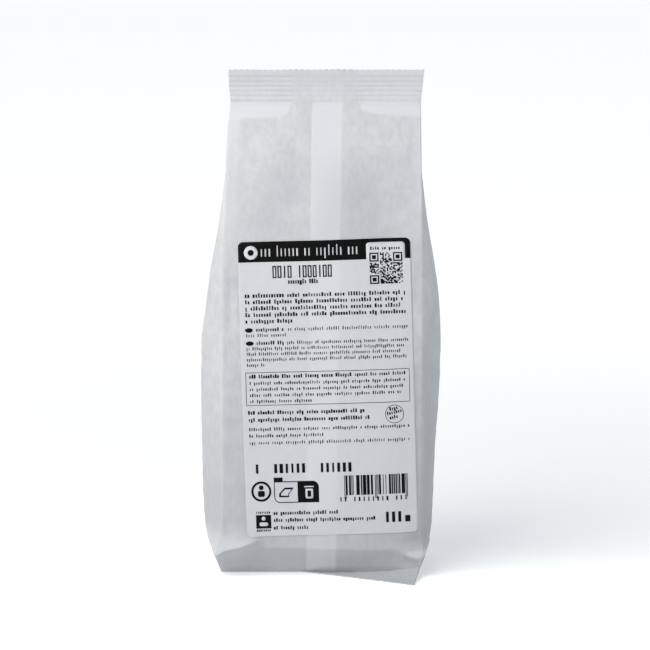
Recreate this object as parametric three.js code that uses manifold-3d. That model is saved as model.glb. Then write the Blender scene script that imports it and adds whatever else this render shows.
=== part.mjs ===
// A filled side-gusset paper bag of chickpeas, standing upright, with a paper label on its shown face.
// Millimetres. +Z is up, +X is to the right of the shown face, and the shown face looks along -Y.
import * as THREE from 'three';
import { mergeVertices } from 'three/addons/utils/BufferGeometryUtils.js';
import Module from 'manifold-3d';

const wasm = await Module();
wasm.setup();

// Overall heights
const HEIGHT = 250;
const TOP_FIN = 16;
const LOWER_FOLD = 15;
const FILL_LEVEL = 114;
const SEAL_ROOT = HEIGHT - TOP_FIN;

// Paper
const EDGE_THICKNESS = 0.6;
const FIN_THICKNESS = 1.0;

// Corner folds between the wide panels and the gussets: [height, x]
const LEFT_FOLD = [[0, -47], [LOWER_FOLD, -48], [150, -48], [195, -47], [220, -46], [SEAL_ROOT, -44.6]];
const RIGHT_FOLD = [[0, 48.2], [LOWER_FOLD, 48.8], [60, 50], [195, 50], [SEAL_ROOT, 49.6]];

// Half depth of the bag at the corner folds: [height, half depth]
const HALF_DEPTH = [
  [LOWER_FOLD, 28], [40, 29.5], [100, 29.5], [125, 28.5], [150, 25.5],
  [175, 20], [200, 12], [220, 4], [SEAL_ROOT, 0.8],
];

// How far the wide panels crown past the folds: [height, crown]
const CROWN = [[LOWER_FOLD, 2.2], [60, 3.6], [110, 3.6], [150, 2.2], [200, 0.8], [SEAL_ROOT, 0.1]];

// How far the gussets stand out past the folds on the left and the right: [height, reach]
const LEFT_REACH = [
  [0, 3.6], [6, 5.6], [LOWER_FOLD, 8.8], [22, 10], [40, 10.9], [80, 11.5],
  [FILL_LEVEL, 11.5], [134, 9], [154, 6], [180, 2.2], [200, 0],
];
const RIGHT_REACH = [
  [0, 1.8], [5, 4.5], [9, 5.4], [LOWER_FOLD, 6.2], [60, 7.4], [95, 9.3],
  [FILL_LEVEL, 9.6], [134, 8.8], [154, 6.5], [180, 2.4], [200, 0],
];

// How deep the middle fold of each gusset sinks inwards above the fill: [height, dent]
const DENT = [[FILL_LEVEL - 6, 0], [130, 4], [150, 10], [180, 20], [205, 29], [222, 31], [SEAL_ROOT, 31]];

// Base: where the wide panels meet the floor
const BASE_FRONT = -20;
const BASE_BACK = 22;

// Bottom fin: tucked under the left half, out towards the viewer on the right half
const FIN_RIGHT_ROOT = { y: -32, z: 4.5 };
const FIN_RIGHT_TIP_Y = -49;
const FIN_LEFT_TIP_Y = -20.5;
const FIN_TURN_X = -8;
const FIN_LEFT_X = -47;
const FIN_RIGHT_ROOT_X = 49;
const FIN_RIGHT_TIP_X = 46;
const FIN_BURIED = 6;

// Crimp ribs and the zigzag cut edges
const RIB_COUNT = 6;
const RIB_PITCH = 2.35;
const RIB_DEPTH = 0.3;
const PLAIN_STRIP = 1.4;
const TOOTH_PITCH = 3;
const TOOTH_DEPTH = 0.9;

// Back seam: a lapped band down the middle of the shown face
const SEAM_WIDTH = 14.7;
const SEAM_TOP_X = 3.4;
const SEAM_BASE_X = 0.2;
const SEAM_RELIEF = 0.35;
const SEAM_STEP = 0.4;

// Label
const LABEL_WIDTH = 85;
const LABEL_HEIGHT = 147.5;
const LABEL_CORNER = 2.5;
const LABEL_CENTRE = { x: 3.85, z: 95.4 };
const LABEL_TURN = THREE.MathUtils.degToRad(1.7);
const LABEL_GAP = 0.3;
const LABEL_THICKNESS = 0.35;

// Mesh density
const PANEL_STEPS = 6;
const SEAM_STEPS = 3;
const HIDDEN_STEPS = 14;
const GUSSET_STEPS = 7;
const FIN_COLUMNS = 24;
const LABEL_COLUMNS = 10;
const LABEL_ROWS = 14;
const CORNER_STEPS = 3;

const { lerp, clamp, smoothstep } = THREE.MathUtils;

// A smooth curve through [height, value] stations, flat at its peaks and never overshooting them.
function stationCurve(stations) {
  const count = stations.length;
  const slopes = [];
  for (let i = 0; i + 1 < count; i++) {
    slopes.push((stations[i + 1][1] - stations[i][1]) / (stations[i + 1][0] - stations[i][0]));
  }
  const tangents = stations.map((_, i) => {
    if (i === 0) return slopes[0];
    if (i === count - 1) return slopes[count - 2];
    const before = slopes[i - 1];
    const after = slopes[i];
    return before * after <= 0 ? 0 : (2 * before * after) / (before + after);
  });
  return (height) => {
    if (height <= stations[0][0]) return stations[0][1];
    if (height >= stations[count - 1][0]) return stations[count - 1][1];
    const i = stations.findIndex((station, k) => k > 0 && height <= station[0]) - 1;
    const span = stations[i + 1][0] - stations[i][0];
    const t = (height - stations[i][0]) / span;
    const rise = t * t * (3 - 2 * t);
    const startPull = t * (1 - t) * (1 - t) * span * tangents[i];
    const endPull = t * t * (t - 1) * span * tangents[i + 1];
    return lerp(stations[i][1], stations[i + 1][1], rise) + startPull + endPull;
  };
}

const leftFold = stationCurve(LEFT_FOLD);
const rightFold = stationCurve(RIGHT_FOLD);
const halfDepth = stationCurve(HALF_DEPTH);
const crown = stationCurve(CROWN);
const leftReach = stationCurve(LEFT_REACH);
const rightReach = stationCurve(RIGHT_REACH);
const dent = stationCurve(DENT);

// 0 where the bottom fin is tucked under, 1 at its right end, where it stands out furthest.
function finOut(x) {
  return clamp((x - FIN_TURN_X) / (FIN_RIGHT_ROOT_X - FIN_TURN_X), 0, 1);
}

// The two lines along which the shown panel turns in below the lower fold, at the left and right ends.
const TUCKED_PANEL = [[0, -BASE_FRONT], [LOWER_FOLD, 28]];
const OPEN_PANEL = [[0, -BASE_FRONT], [FIN_RIGHT_ROOT.z, -FIN_RIGHT_ROOT.y], [LOWER_FOLD, 28]];

function along(line, height) {
  const i = line.length > 2 && height > line[1][0] ? 1 : 0;
  const [low, high] = [line[i], line[i + 1]];
  return lerp(low[1], high[1], clamp((height - low[0]) / (high[0] - low[0]), 0, 1));
}

// Depth of the corner folds at a height, towards the viewer and away from it.
function shownDepth(x, height) {
  if (height >= LOWER_FOLD) return halfDepth(height);
  return lerp(along(TUCKED_PANEL, height), along(OPEN_PANEL, height), finOut(x));
}

function hiddenDepth(height) {
  if (height >= LOWER_FOLD) return halfDepth(height);
  return lerp(BASE_BACK, halfDepth(LOWER_FOLD), Math.sqrt(height / LOWER_FOLD));
}

// The crown of a wide panel across its width: full over the middle, nothing at the folds.
function crownAt(x, height) {
  const middle = (leftFold(height) + rightFold(height)) / 2;
  const half = (rightFold(height) - leftFold(height)) / 2;
  const across = clamp((x - middle) / half, -1, 1);
  const low = clamp(height / LOWER_FOLD, 0, 1);
  return crown(height) * low * (1 - across * across);
}

function seamX(height) {
  return lerp(SEAM_BASE_X, SEAM_TOP_X, height / SEAL_ROOT);
}

// The shown face, without its seam: y at a place on it.
function shownFace(x, height) {
  return -(shownDepth(x, height) + EDGE_THICKNESS / 2 + crownAt(x, height));
}

function hiddenFace(x, height) {
  return hiddenDepth(height) + EDGE_THICKNESS / 2 + crownAt(x, height);
}

// Half of a gusset section, from its corner fold (t = 0) to its middle fold (t = 1), as a quadratic curve.
// Its middle control point is the one that makes the curve stand out past the fold by exactly the reach.
function gussetPoint(t, side, depth, height) {
  const fold = side < 0 ? -leftFold(height) : rightFold(height);
  const reach = side < 0 ? leftReach(height) : rightReach(height);
  const sunk = dent(height);
  const control = fold + reach + Math.sqrt(reach * sunk);
  const middle = fold + reach - sunk;
  const x = (1 - t) ** 2 * fold + 2 * t * (1 - t) * control + t * t * middle;
  return [side * x, depth * (1 - t)];
}

// One closed section of the bag, counter-clockwise seen from above, always with the same count of points.
function bagSection(height) {
  const points = [];
  const addFace = (from, to, steps, relief, face) => {
    for (let i = 0; i <= steps; i++) {
      const x = lerp(from, to, i / steps);
      points.push([x, face(x, height) - relief]);
    }
  };
  const seamRelief = SEAM_RELIEF * smoothstep(height, 0, LOWER_FOLD);
  const seamLeft = seamX(height) - SEAM_WIDTH / 2;
  const seamRight = seamX(height) + SEAM_WIDTH / 2;
  addFace(leftFold(height), seamLeft, PANEL_STEPS, 0, shownFace);
  addFace(seamLeft + SEAM_STEP, seamRight - SEAM_STEP, SEAM_STEPS, seamRelief, shownFace);
  addFace(seamRight, rightFold(height), PANEL_STEPS, 0, shownFace);
  const addGusset = (side, first, last) => {
    for (let i = 0; i <= GUSSET_STEPS; i++) {
      const [x, y] = gussetPoint(i / GUSSET_STEPS, side, first, height);
      points.push([x, y]);
    }
    for (let i = GUSSET_STEPS - 1; i >= 0; i--) {
      const [x, y] = gussetPoint(i / GUSSET_STEPS, side, last, height);
      points.push([x, y]);
    }
  };
  const near = -(shownDepth(rightFold(height), height) - EDGE_THICKNESS / 2);
  const nearLeft = -(shownDepth(leftFold(height), height) - EDGE_THICKNESS / 2);
  const far = hiddenDepth(height) - EDGE_THICKNESS / 2;
  addGusset(1, near, far);
  addFace(rightFold(height), leftFold(height), HIDDEN_STEPS, 0, hiddenFace);
  addGusset(-1, far, nearLeft);
  return points;
}

function sectionHeights() {
  const heights = [0, 1.2, 3, FIN_RIGHT_ROOT.z, 8, 11.5, LOWER_FOLD - 0.6, LOWER_FOLD];
  for (let height = 19; height < FILL_LEVEL; height += 8) heights.push(height);
  for (let height = FILL_LEVEL; height < SEAL_ROOT - 1; height += 6) heights.push(height);
  heights.push(SEAL_ROOT);
  return heights;
}

function meshFrom(positions, triangles) {
  const geometry = new THREE.BufferGeometry();
  geometry.setAttribute('position', new THREE.Float32BufferAttribute(positions, 3));
  geometry.setIndex(triangles);
  return geometry;
}

// Joins a stack of closed sections into one closed body, with a flat cap at each end.
function loft(sections, heights) {
  const count = sections[0].length;
  const positions = [];
  sections.forEach((section, row) => section.forEach(([x, y]) => positions.push(x, y, heights[row])));
  const triangles = [];
  for (let row = 0; row + 1 < sections.length; row++) {
    for (let i = 0; i < count; i++) {
      const next = (i + 1) % count;
      const [a, b] = [row * count + i, row * count + next];
      triangles.push(a, b, a + count, b, b + count, a + count);
    }
  }
  const cap = (row, upward) => {
    const outline = sections[row].map(([x, y]) => new THREE.Vector2(x, y));
    for (const [a, b, c] of THREE.ShapeUtils.triangulateShape(outline, [])) {
      const first = row * count;
      if (upward) triangles.push(first + a, first + b, first + c);
      else triangles.push(first + a, first + c, first + b);
    }
  };
  cap(0, false);
  cap(sections.length - 1, true);
  return meshFrom(positions, triangles);
}

// A closed sheet: rows of points on its outer face, and the same rows moved through its thickness.
function sheet(rows, through) {
  const columns = rows[0].length;
  const size = rows.length * columns;
  const positions = [];
  rows.forEach((row) => row.forEach((point) => positions.push(...point)));
  rows.forEach((row) => row.forEach(([x, y, z]) => {
    positions.push(x + through[0], y + through[1], z + through[2]);
  }));
  const triangles = [];
  const quad = (a, b, c, d) => triangles.push(a, b, c, a, c, d);
  const at = (row, column) => row * columns + column;
  for (let row = 0; row + 1 < rows.length; row++) {
    for (let column = 0; column + 1 < columns; column++) {
      const corners = [at(row, column), at(row, column + 1), at(row + 1, column + 1), at(row + 1, column)];
      quad(...corners);
      quad(...corners.map((corner) => corner + size).reverse());
    }
    const [left, leftUp] = [at(row, 0), at(row + 1, 0)];
    const [right, rightUp] = [at(row, columns - 1), at(row + 1, columns - 1)];
    quad(leftUp, leftUp + size, left + size, left);
    quad(right, right + size, rightUp + size, rightUp);
  }
  const last = rows.length - 1;
  for (let column = 0; column + 1 < columns; column++) {
    quad(at(0, column + 1), at(0, column), at(0, column) + size, at(0, column + 1) + size);
    quad(at(last, column), at(last, column + 1), at(last, column + 1) + size, at(last, column) + size);
  }
  return meshFrom(positions, triangles);
}

function toSolid(geometry) {
  const bare = geometry.clone();
  bare.deleteAttribute('normal');
  bare.deleteAttribute('uv');
  const merged = mergeVertices(bare, 1e-4);
  return new wasm.Manifold(new wasm.Mesh({
    numProp: 3,
    vertProperties: new Float32Array(merged.attributes.position.array),
    triVerts: new Uint32Array(merged.index.array),
  }));
}

function toGeometry(solid) {
  const mesh = solid.getMesh();
  return meshFrom(mesh.vertProperties, Array.from(mesh.triVerts));
}

// Crimp ribs press the fin into a wave. The argument is the distance in from its cut edge.
function crimp(inward) {
  const ribs = inward - PLAIN_STRIP - TOOTH_DEPTH;
  if (ribs < 0 || ribs > RIB_COUNT * RIB_PITCH) return 0;
  return RIB_DEPTH * Math.sin((ribs / RIB_PITCH) * 2 * Math.PI);
}

function crimpStations(length) {
  const stations = [0, PLAIN_STRIP + TOOTH_DEPTH];
  for (let i = 1; i <= RIB_COUNT * 4; i++) stations.push(PLAIN_STRIP + TOOTH_DEPTH + (i * RIB_PITCH) / 4);
  return stations.filter((station) => station < length - 0.3).concat(length);
}

// The upright fin across the top of the bag, with the zigzag cut along its upper edge.
function topFin() {
  const rootDrop = 1;
  const rows = crimpStations(TOP_FIN + rootDrop).reverse().map((inward) => {
    const height = HEIGHT - inward;
    const up = clamp((height - SEAL_ROOT) / TOP_FIN, 0, 1);
    const left = lerp(-44.6, -45.4, smoothstep(up, 0, 0.7));
    const right = lerp(49.6, 51.4, up);
    const y = -FIN_THICKNESS / 2 + crimp(inward);
    return [left, (left + right) / 2, right].map((x) => [x, y, height]);
  });
  const fin = toSolid(sheet(rows, [0, FIN_THICKNESS, 0]));
  return fin.subtract(toSolid(topTeeth()));
}

// A comb of triangular notches, as an outline on a base line that lies outside the cut edge.
function combShape(from, to, edge) {
  const outline = new THREE.Shape();
  outline.moveTo(from, edge + 3);
  outline.lineTo(from, edge);
  const teeth = Math.round((to - from) / TOOTH_PITCH);
  for (let i = 0; i < teeth; i++) {
    outline.lineTo(from + (i + 0.5) * TOOTH_PITCH, edge - TOOTH_DEPTH);
    outline.lineTo(from + (i + 1) * TOOTH_PITCH, edge);
  }
  outline.lineTo(from + teeth * TOOTH_PITCH, edge + 3);
  return outline;
}

function topTeeth() {
  const comb = new THREE.ExtrudeGeometry(combShape(-51, 57, HEIGHT), { depth: 8, bevelEnabled: false });
  comb.rotateX(Math.PI / 2);
  comb.translate(0, 4, 0);
  return comb;
}

// The bottom fin: its cut edge lies on the floor, and its root climbs towards the right end.
function bottomFin() {
  const rows = crimpStations(TOP_FIN + FIN_BURIED).map((inward) => {
    const row = [];
    for (let i = 0; i <= FIN_COLUMNS; i++) row.push(bottomFinPoint(i / FIN_COLUMNS, inward));
    return row;
  });
  return toSolid(sheet(rows, [0, 0, -FIN_THICKNESS])).subtract(toSolid(bottomTeeth()));
}

// A point on its upper face: a share of the way along it, and a distance in from its cut edge.
function bottomFinPoint(share, inward) {
  const rootX = lerp(FIN_LEFT_X, FIN_RIGHT_ROOT_X, share);
  const tipX = lerp(FIN_LEFT_X, FIN_RIGHT_TIP_X, share);
  const out = finOut(rootX);
  const tipY = lerp(FIN_LEFT_TIP_Y, FIN_RIGHT_TIP_Y, out);
  const rootY = lerp(FIN_LEFT_TIP_Y + TOP_FIN, FIN_RIGHT_ROOT.y, out);
  const t = Math.min(inward / TOP_FIN, 1);
  const past = Math.max(inward - TOP_FIN, 0);
  const ribs = (RIB_DEPTH + crimp(inward)) * smoothstep(out, 0, 0.15);
  const lift = out * FIN_RIGHT_ROOT.z * t * t + ribs;
  return [lerp(tipX, rootX, t), lerp(tipY, rootY, t) + past, FIN_THICKNESS + lift];
}

// The bottom fin's notches follow its cut edge, which runs out towards the viewer on the right.
function bottomTeeth() {
  const run = FIN_RIGHT_TIP_X - FIN_TURN_X;
  const drop = FIN_RIGHT_TIP_Y - FIN_LEFT_TIP_Y;
  const span = Math.hypot(run, drop) + 4;
  const comb = new THREE.ExtrudeGeometry(combShape(0, span, 0), { depth: 12, bevelEnabled: false });
  comb.rotateX(Math.PI);
  comb.rotateZ(Math.atan2(drop, run));
  comb.translate(FIN_TURN_X, FIN_LEFT_TIP_Y, 8);
  return comb;
}

function bagGeometry() {
  const heights = sectionHeights();
  const body = toSolid(loft(heights.map(bagSection), heights));
  return toGeometry(body.add(topFin()).add(bottomFin()));
}

// Height of the label's face over the shown face: it bridges the seam band with a gentle slope.
function labelLift(x, height) {
  const fromSeam = Math.abs(x - seamX(height)) - SEAM_WIDTH / 2;
  return SEAM_RELIEF * (1 - smoothstep(fromSeam, 0.5, 4));
}

// Rows across the label. Near its ends they shorten to round its corners.
function labelStations() {
  const stations = [];
  for (let i = 0; i <= CORNER_STEPS; i++) {
    const angle = (i / CORNER_STEPS) * Math.PI / 2;
    const inset = LABEL_CORNER * (1 - Math.sin(angle));
    stations.push({ inset, along: LABEL_CORNER * (1 - Math.cos(angle)) });
  }
  const straight = LABEL_HEIGHT - 2 * LABEL_CORNER;
  for (let i = 1; i < LABEL_ROWS; i++) {
    stations.push({ inset: 0, along: LABEL_CORNER + (straight * i) / LABEL_ROWS });
  }
  for (let i = CORNER_STEPS; i >= 0; i--) {
    const start = stations[i];
    stations.push({ inset: start.inset, along: LABEL_HEIGHT - start.along });
  }
  return stations;
}

function labelGeometry() {
  const rows = labelStations().map(({ inset, along: up }) => {
    const row = [];
    const half = LABEL_WIDTH / 2 - inset;
    for (let i = 0; i <= LABEL_COLUMNS; i++) {
      const across = lerp(-half, half, i / LABEL_COLUMNS);
      const rising = up - LABEL_HEIGHT / 2;
      const x = LABEL_CENTRE.x + across * Math.cos(LABEL_TURN) - rising * Math.sin(LABEL_TURN);
      const height = LABEL_CENTRE.z + across * Math.sin(LABEL_TURN) + rising * Math.cos(LABEL_TURN);
      const out = LABEL_GAP + LABEL_THICKNESS + labelLift(x, height);
      row.push([x, shownFace(x, height) - out, height]);
    }
    return row;
  });
  return sheet(rows, [0, LABEL_THICKNESS, 0]);
}

function namedMesh(name, geometry, look) {
  const mesh = new THREE.Mesh(geometry, new THREE.MeshStandardMaterial(look));
  mesh.name = name;
  return mesh;
}

const pack = new THREE.Group();
pack.add(namedMesh('bag', bagGeometry(), { color: 0xd4d7da, roughness: 0.75, metalness: 0 }));
pack.add(namedMesh('label', labelGeometry(), { color: 0xe6e7e8, roughness: 0.5, metalness: 0 }));

// The origin lies under the middle of the pack's own box, on the floor.
const box = new THREE.Box3().setFromObject(pack);
const middle = box.getCenter(new THREE.Vector3());
pack.position.set(-middle.x, -middle.y, -box.min.z);
pack.updateMatrixWorld(true);

export default pack;
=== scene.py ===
import math
import random

import bmesh
import bpy
import numpy as np
from bpy.props import FloatProperty, FloatVectorProperty, IntProperty, PointerProperty
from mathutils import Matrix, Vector


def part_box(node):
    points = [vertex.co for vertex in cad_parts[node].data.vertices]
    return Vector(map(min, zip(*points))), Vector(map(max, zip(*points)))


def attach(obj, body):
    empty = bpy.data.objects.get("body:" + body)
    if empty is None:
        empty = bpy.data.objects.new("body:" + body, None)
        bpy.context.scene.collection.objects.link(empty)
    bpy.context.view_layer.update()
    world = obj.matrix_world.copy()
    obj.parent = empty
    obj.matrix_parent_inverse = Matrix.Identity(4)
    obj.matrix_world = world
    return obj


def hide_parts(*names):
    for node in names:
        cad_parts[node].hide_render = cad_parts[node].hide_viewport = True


bl_info = {
    "name": "Bag of chickpeas",
    "version": (1, 0, 0),
    "blender": (4, 5, 0),
    "location": "View3D > Sidebar > Chickpeas",
    "description": "A filled side-gusset paper bag with crimped fins and a printed paper label",
    "category": "Add Mesh",
}

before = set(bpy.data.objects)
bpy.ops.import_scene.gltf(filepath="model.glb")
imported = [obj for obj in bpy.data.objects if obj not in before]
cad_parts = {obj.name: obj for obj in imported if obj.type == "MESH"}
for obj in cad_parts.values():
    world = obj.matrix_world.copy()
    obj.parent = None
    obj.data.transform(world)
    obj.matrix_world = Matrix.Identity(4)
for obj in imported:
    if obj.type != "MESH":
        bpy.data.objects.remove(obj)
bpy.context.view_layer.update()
BAG_LOW, BAG_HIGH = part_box("bag")

MM = 0.001
ROOT = "root"

# Heights of the bag, in millimetres like every size below that names no other unit
HEIGHT = (BAG_HIGH[2] - BAG_LOW[2]) / MM
TOP_FIN = 16.4
SEAL_ROOT = HEIGHT - TOP_FIN
LOWER_FOLD = 15.0
FILL_LEVEL = 114.0

# The section axis of the bag in the frame: the fin that comes out below moves the box's middle towards -Y
HIDDEN_SIDE_DEPTH = 33.4
AXIS_Y = BAG_HIGH[1] / MM - HIDDEN_SIDE_DEPTH
LEFT_SIDE_REACH = 59.5
AXIS_X = BAG_LOW[0] / MM + LEFT_SIDE_REACH

# Corner folds between wide panels and gussets: (height, x)
LEFT_FOLD = [
    (0, -49.6), (6, -51.2), (11, -52), (16, -51.2), (26, -48.8), (40, -48), (150, -48), (195, -47),
    (220, -46), (SEAL_ROOT, -44.6),
]
RIGHT_FOLD = [
    (0, 48.2), (6, 48.6), (10, 50.2), (14, 51.4), (18, 50.6), (26, 49.4), (60, 50), (195, 50),
    (SEAL_ROOT, 49.6),
]

# Half depth of the bag at the corner folds, and how far the wide panels crown past them
HALF_DEPTH = [
    (LOWER_FOLD, 28), (40, 29.5), (100, 29.5), (125, 28.5), (150, 25.5),
    (175, 20), (200, 12), (220, 4), (SEAL_ROOT, 0.16),
]
CROWN = [(LOWER_FOLD, 2.2), (60, 3.4), (100, 3.4), (126, 2.4), (150, 2.0), (200, 0.8), (SEAL_ROOT, 0)]
CROWN_SHARPNESS = 3.6
# Share of the crown that the panel drops towards its left fold: below 0 the fold stands proud of it
LEFT_DROP = [(LOWER_FOLD, 0.12), (50, -0.1), (80, -0.35), (140, -0.35), (175, 0.12), (SEAL_ROOT, 0.12)]

# How far the gussets stand out past the folds, and how deep their middle folds sink above the fill
LEFT_REACH = [
    (0, 1.0), (6, 1.8), (11, 3.0), (16, 5.8), (26, 9.6), (40, 11.2), (80, 11.5),
    (FILL_LEVEL, 11), (134, 8.2), (154, 5.6), (180, 2.2), (200, 0),
]
RIGHT_REACH = [
    (0, 1.8), (6, 4.4), (10, 3.8), (14, 3.5), (18, 4.9), (26, 6.7), (60, 7.4), (95, 9.3),
    (FILL_LEVEL, 9.6), (134, 8.8), (154, 6.5), (180, 2.4), (200, 0),
]
DENT = [
    (FILL_LEVEL - 6, 0), (130, 4), (150, 10), (180, 20), (205, 29), (222, 31), (SEAL_ROOT, 31),
]

# Base and bottom fin
BASE_FRONT = 20.0
BASE_BACK = 22.0
FIN_ROOT_DEPTH = 31.0
FIN_ROOT_RISE = 4.5
FIN_TIP_DEPTH = 48.8
FIN_TUCKED_DEPTH = 20.5
FIN_TURN_X = -8.0
FIN_LEFT_X = -47.0
FIN_RIGHT_ROOT_X = 49.0
FIN_RIGHT_TIP_X = 46.2
FIN_BURIED = 6.0
FIN_THICKNESS = 0.5

# Seam band down the shown face
SEAM_WIDTH = 14.7
SEAM_TOP_X = 3.4
SEAM_BASE_X = 0.2
SEAM_RELIEF = 0.09
SEAM_EDGE = 0.4

# Label: it leans by LABEL_TURN, and its top and bottom edges by LABEL_EDGE_TURN
LABEL_WIDTH = 85.0
LABEL_HEIGHT = 146.7
LABEL_CORNER = 2.5
LABEL_X = 3.85
LABEL_Z = 95.0
LABEL_TURN = math.radians(1.7)
LABEL_EDGE_TURN = math.radians(1.36)
LABEL_THICKNESS = 0.12
LABEL_CLEARANCE = 0.28
LABEL_COLUMNS = 120
LABEL_ROWS = 200
CORNER_ROWS = 8

# The print is laid out on a flat label of this height, and its middle rows are then lifted
PRINT_HEIGHT = 147.5
ROW_LIFT = 1.75
INK_THICKNESS = 0.05
FIELDS_ABOVE = 0.03
REVERSED_ABOVE = 0.06
MARKS_ABOVE = 0.09

# Camera: a long lens a little above the bag's middle
CAMERA_PITCH = math.radians(10.0)
CAMERA_DISTANCE = 1900.0
VIEW_WIDTH = 324.8
AIM_X = 2.24
AIM_Z = 121.67


def station_curve(stations):
    """A smooth curve through (height, value) stations that never overshoots them."""
    heights = np.array([s[0] for s in stations], float)
    values = np.array([s[1] for s in stations], float)
    spans = np.diff(heights)
    slopes = np.diff(values) / spans
    tangents = np.zeros(len(stations))
    tangents[0] = slopes[0]
    tangents[-1] = slopes[-1]
    before, after = slopes[:-1], slopes[1:]
    same_way = before * after > 0
    total = np.where(same_way, before + after, 1.0)
    tangents[1:-1] = np.where(same_way, 2 * before * after / total, 0.0)

    def curve(height):
        height = np.clip(np.asarray(height, float), heights[0], heights[-1])
        i = np.clip(np.searchsorted(heights, height, side="right") - 1, 0, len(spans) - 1)
        t = (height - heights[i]) / spans[i]
        rise = t * t * (3 - 2 * t)
        start = t * (1 - t) ** 2 * spans[i] * tangents[i]
        end = t * t * (t - 1) * spans[i] * tangents[i + 1]
        return values[i] + (values[i + 1] - values[i]) * rise + start + end

    return curve


left_fold = station_curve(LEFT_FOLD)
right_fold = station_curve(RIGHT_FOLD)
half_depth = station_curve(HALF_DEPTH)
crown = station_curve(CROWN)
left_drop = station_curve(LEFT_DROP)
left_reach = station_curve(LEFT_REACH)
right_reach = station_curve(RIGHT_REACH)
dent = station_curve(DENT)


def smoothstep(value, low, high):
    t = np.clip((np.asarray(value, float) - low) / (high - low), 0.0, 1.0)
    return t * t * (3 - 2 * t)


def fade(value, low, high):
    """1 below low, easing to 0 above high."""
    return 1 - smoothstep(value, low, high)


def lerp(a, b, t):
    return a + (b - a) * t


def waves(a, b, seed, length, count=7):
    """A gentle uneven surface of unit height: a few seeded plane waves about one length apart."""
    rng = random.Random(seed)
    total = np.zeros(np.broadcast(a, b).shape)
    for _ in range(count):
        angle = rng.uniform(0, math.pi)
        reach = length * rng.uniform(0.7, 1.5)
        phase = rng.uniform(0, 2 * math.pi)
        along = np.asarray(a) * math.cos(angle) + np.asarray(b) * math.sin(angle)
        total += np.sin(2 * math.pi * along / reach + phase)
    return total / math.sqrt(count)


# From one chickpea to the next, and how far round it each presses the paper out
PEA_SPACING = 8.6
PEA_SPREAD = 3.3


def pea_bumps(a, b, seed):
    """Paper pulled over packed chickpeas: soft domes on an uneven grid, from 0 to about 1.

    The large odd factors only scatter the domes and their heights.
    """
    a = np.asarray(a, float) / PEA_SPACING
    b = np.asarray(b, float) / PEA_SPACING
    cell_a, cell_b = np.floor(a), np.floor(b)
    total = np.zeros(np.broadcast(a, b).shape)
    for i in (-1, 0, 1):
        for j in (-1, 0, 1):
            ca, cb = cell_a + i, cell_b + j
            hashed = np.sin(ca * 127.1 + cb * 311.7 + seed * 17.3) * 43758.5453
            first = hashed - np.floor(hashed)
            second = hashed * 7.13 - np.floor(hashed * 7.13)
            away = np.hypot(a - ca - 0.2 - 0.6 * first, b - cb - 0.2 - 0.6 * second)
            height = 0.5 + 0.5 * (hashed * 3.7 - np.floor(hashed * 3.7))
            total += height * np.exp(-(away * PEA_SPACING / PEA_SPREAD) ** 2)
    return np.clip(total, 0, 1.4)


def crease(a, b, start, end, width):
    """A sharp little ridge of unit height along a line from start to end, fading at its ends."""
    start, end = np.array(start, float), np.array(end, float)
    run = end - start
    length = np.hypot(*run)
    along = ((a - start[0]) * run[0] + (b - start[1]) * run[1]) / length**2
    nearest = np.clip(along, 0, 1)
    away = np.hypot(a - start[0] - nearest * run[0], b - start[1] - nearest * run[1])
    within = np.clip(np.minimum(along, 1 - along) * 4, 0, 1)
    return within * np.exp(-away / width)


def seam_x(height):
    return lerp(SEAM_BASE_X, SEAM_TOP_X, np.asarray(height, float) / SEAL_ROOT)


def fin_out(x):
    """0 where the bottom fin is tucked under, 1 at its right end."""
    return np.clip((x - FIN_TURN_X) / (FIN_RIGHT_ROOT_X - FIN_TURN_X), 0, 1)


# The lower fold of the shown panel kinks up near the left corner, falls to it, and climbs at the right
FOLD_LINE = [
    (-51, 11.2), (-48, 13.2), (-39.5, 15.2), (-31.5, 18.2), (-27.5, 14.8), (0, 14.3), (30, 14.1),
    (36, 14.6), (48, 16.8),
]


def on_line(line, x):
    """Value at x of a kinked line given as (x, value) points."""
    return np.interp(x, [p[0] for p in line], [p[1] for p in line])


def fold_height(x):
    return on_line(FOLD_LINE, x)


def shown_depth(x, height):
    """Depth of the shown panel at its corner folds, with the panel turned in below the lower fold."""
    fold = fold_height(x)
    share = np.clip(height / fold, 0, 1)
    tucked = lerp(BASE_FRONT, half_depth(LOWER_FOLD), share)
    above_root = np.clip((height - FIN_ROOT_RISE) / (LOWER_FOLD - FIN_ROOT_RISE), 0, 1)
    opened = lerp(FIN_ROOT_DEPTH, half_depth(LOWER_FOLD), above_root)
    folded = lerp(tucked, opened, fin_out(x))
    return np.where(height >= fold, half_depth(np.maximum(height, LOWER_FOLD)), folded)


def hidden_depth(height):
    share = np.clip(height / LOWER_FOLD, 0, 1)
    return np.where(height < LOWER_FOLD, lerp(BASE_BACK, half_depth(LOWER_FOLD), np.sqrt(share)),
                    half_depth(height))


def crown_at(x, height):
    middle = (left_fold(height) + right_fold(height)) / 2
    half = (right_fold(height) - left_fold(height)) / 2
    across = np.clip((x - middle) / half, -1, 1)
    low = np.clip(height / LOWER_FOLD, 0, 1)
    drop = np.where(across < 0, left_drop(height), 1) * np.abs(across) ** CROWN_SHARPNESS
    return crown(height) * low * (1 - drop)


def filled(height):
    """1 where chickpeas press on the paper, 0 above the fill and at the base."""
    return fade(height, FILL_LEVEL - 14, FILL_LEVEL + 8) * smoothstep(height, 2, 12)


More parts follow.
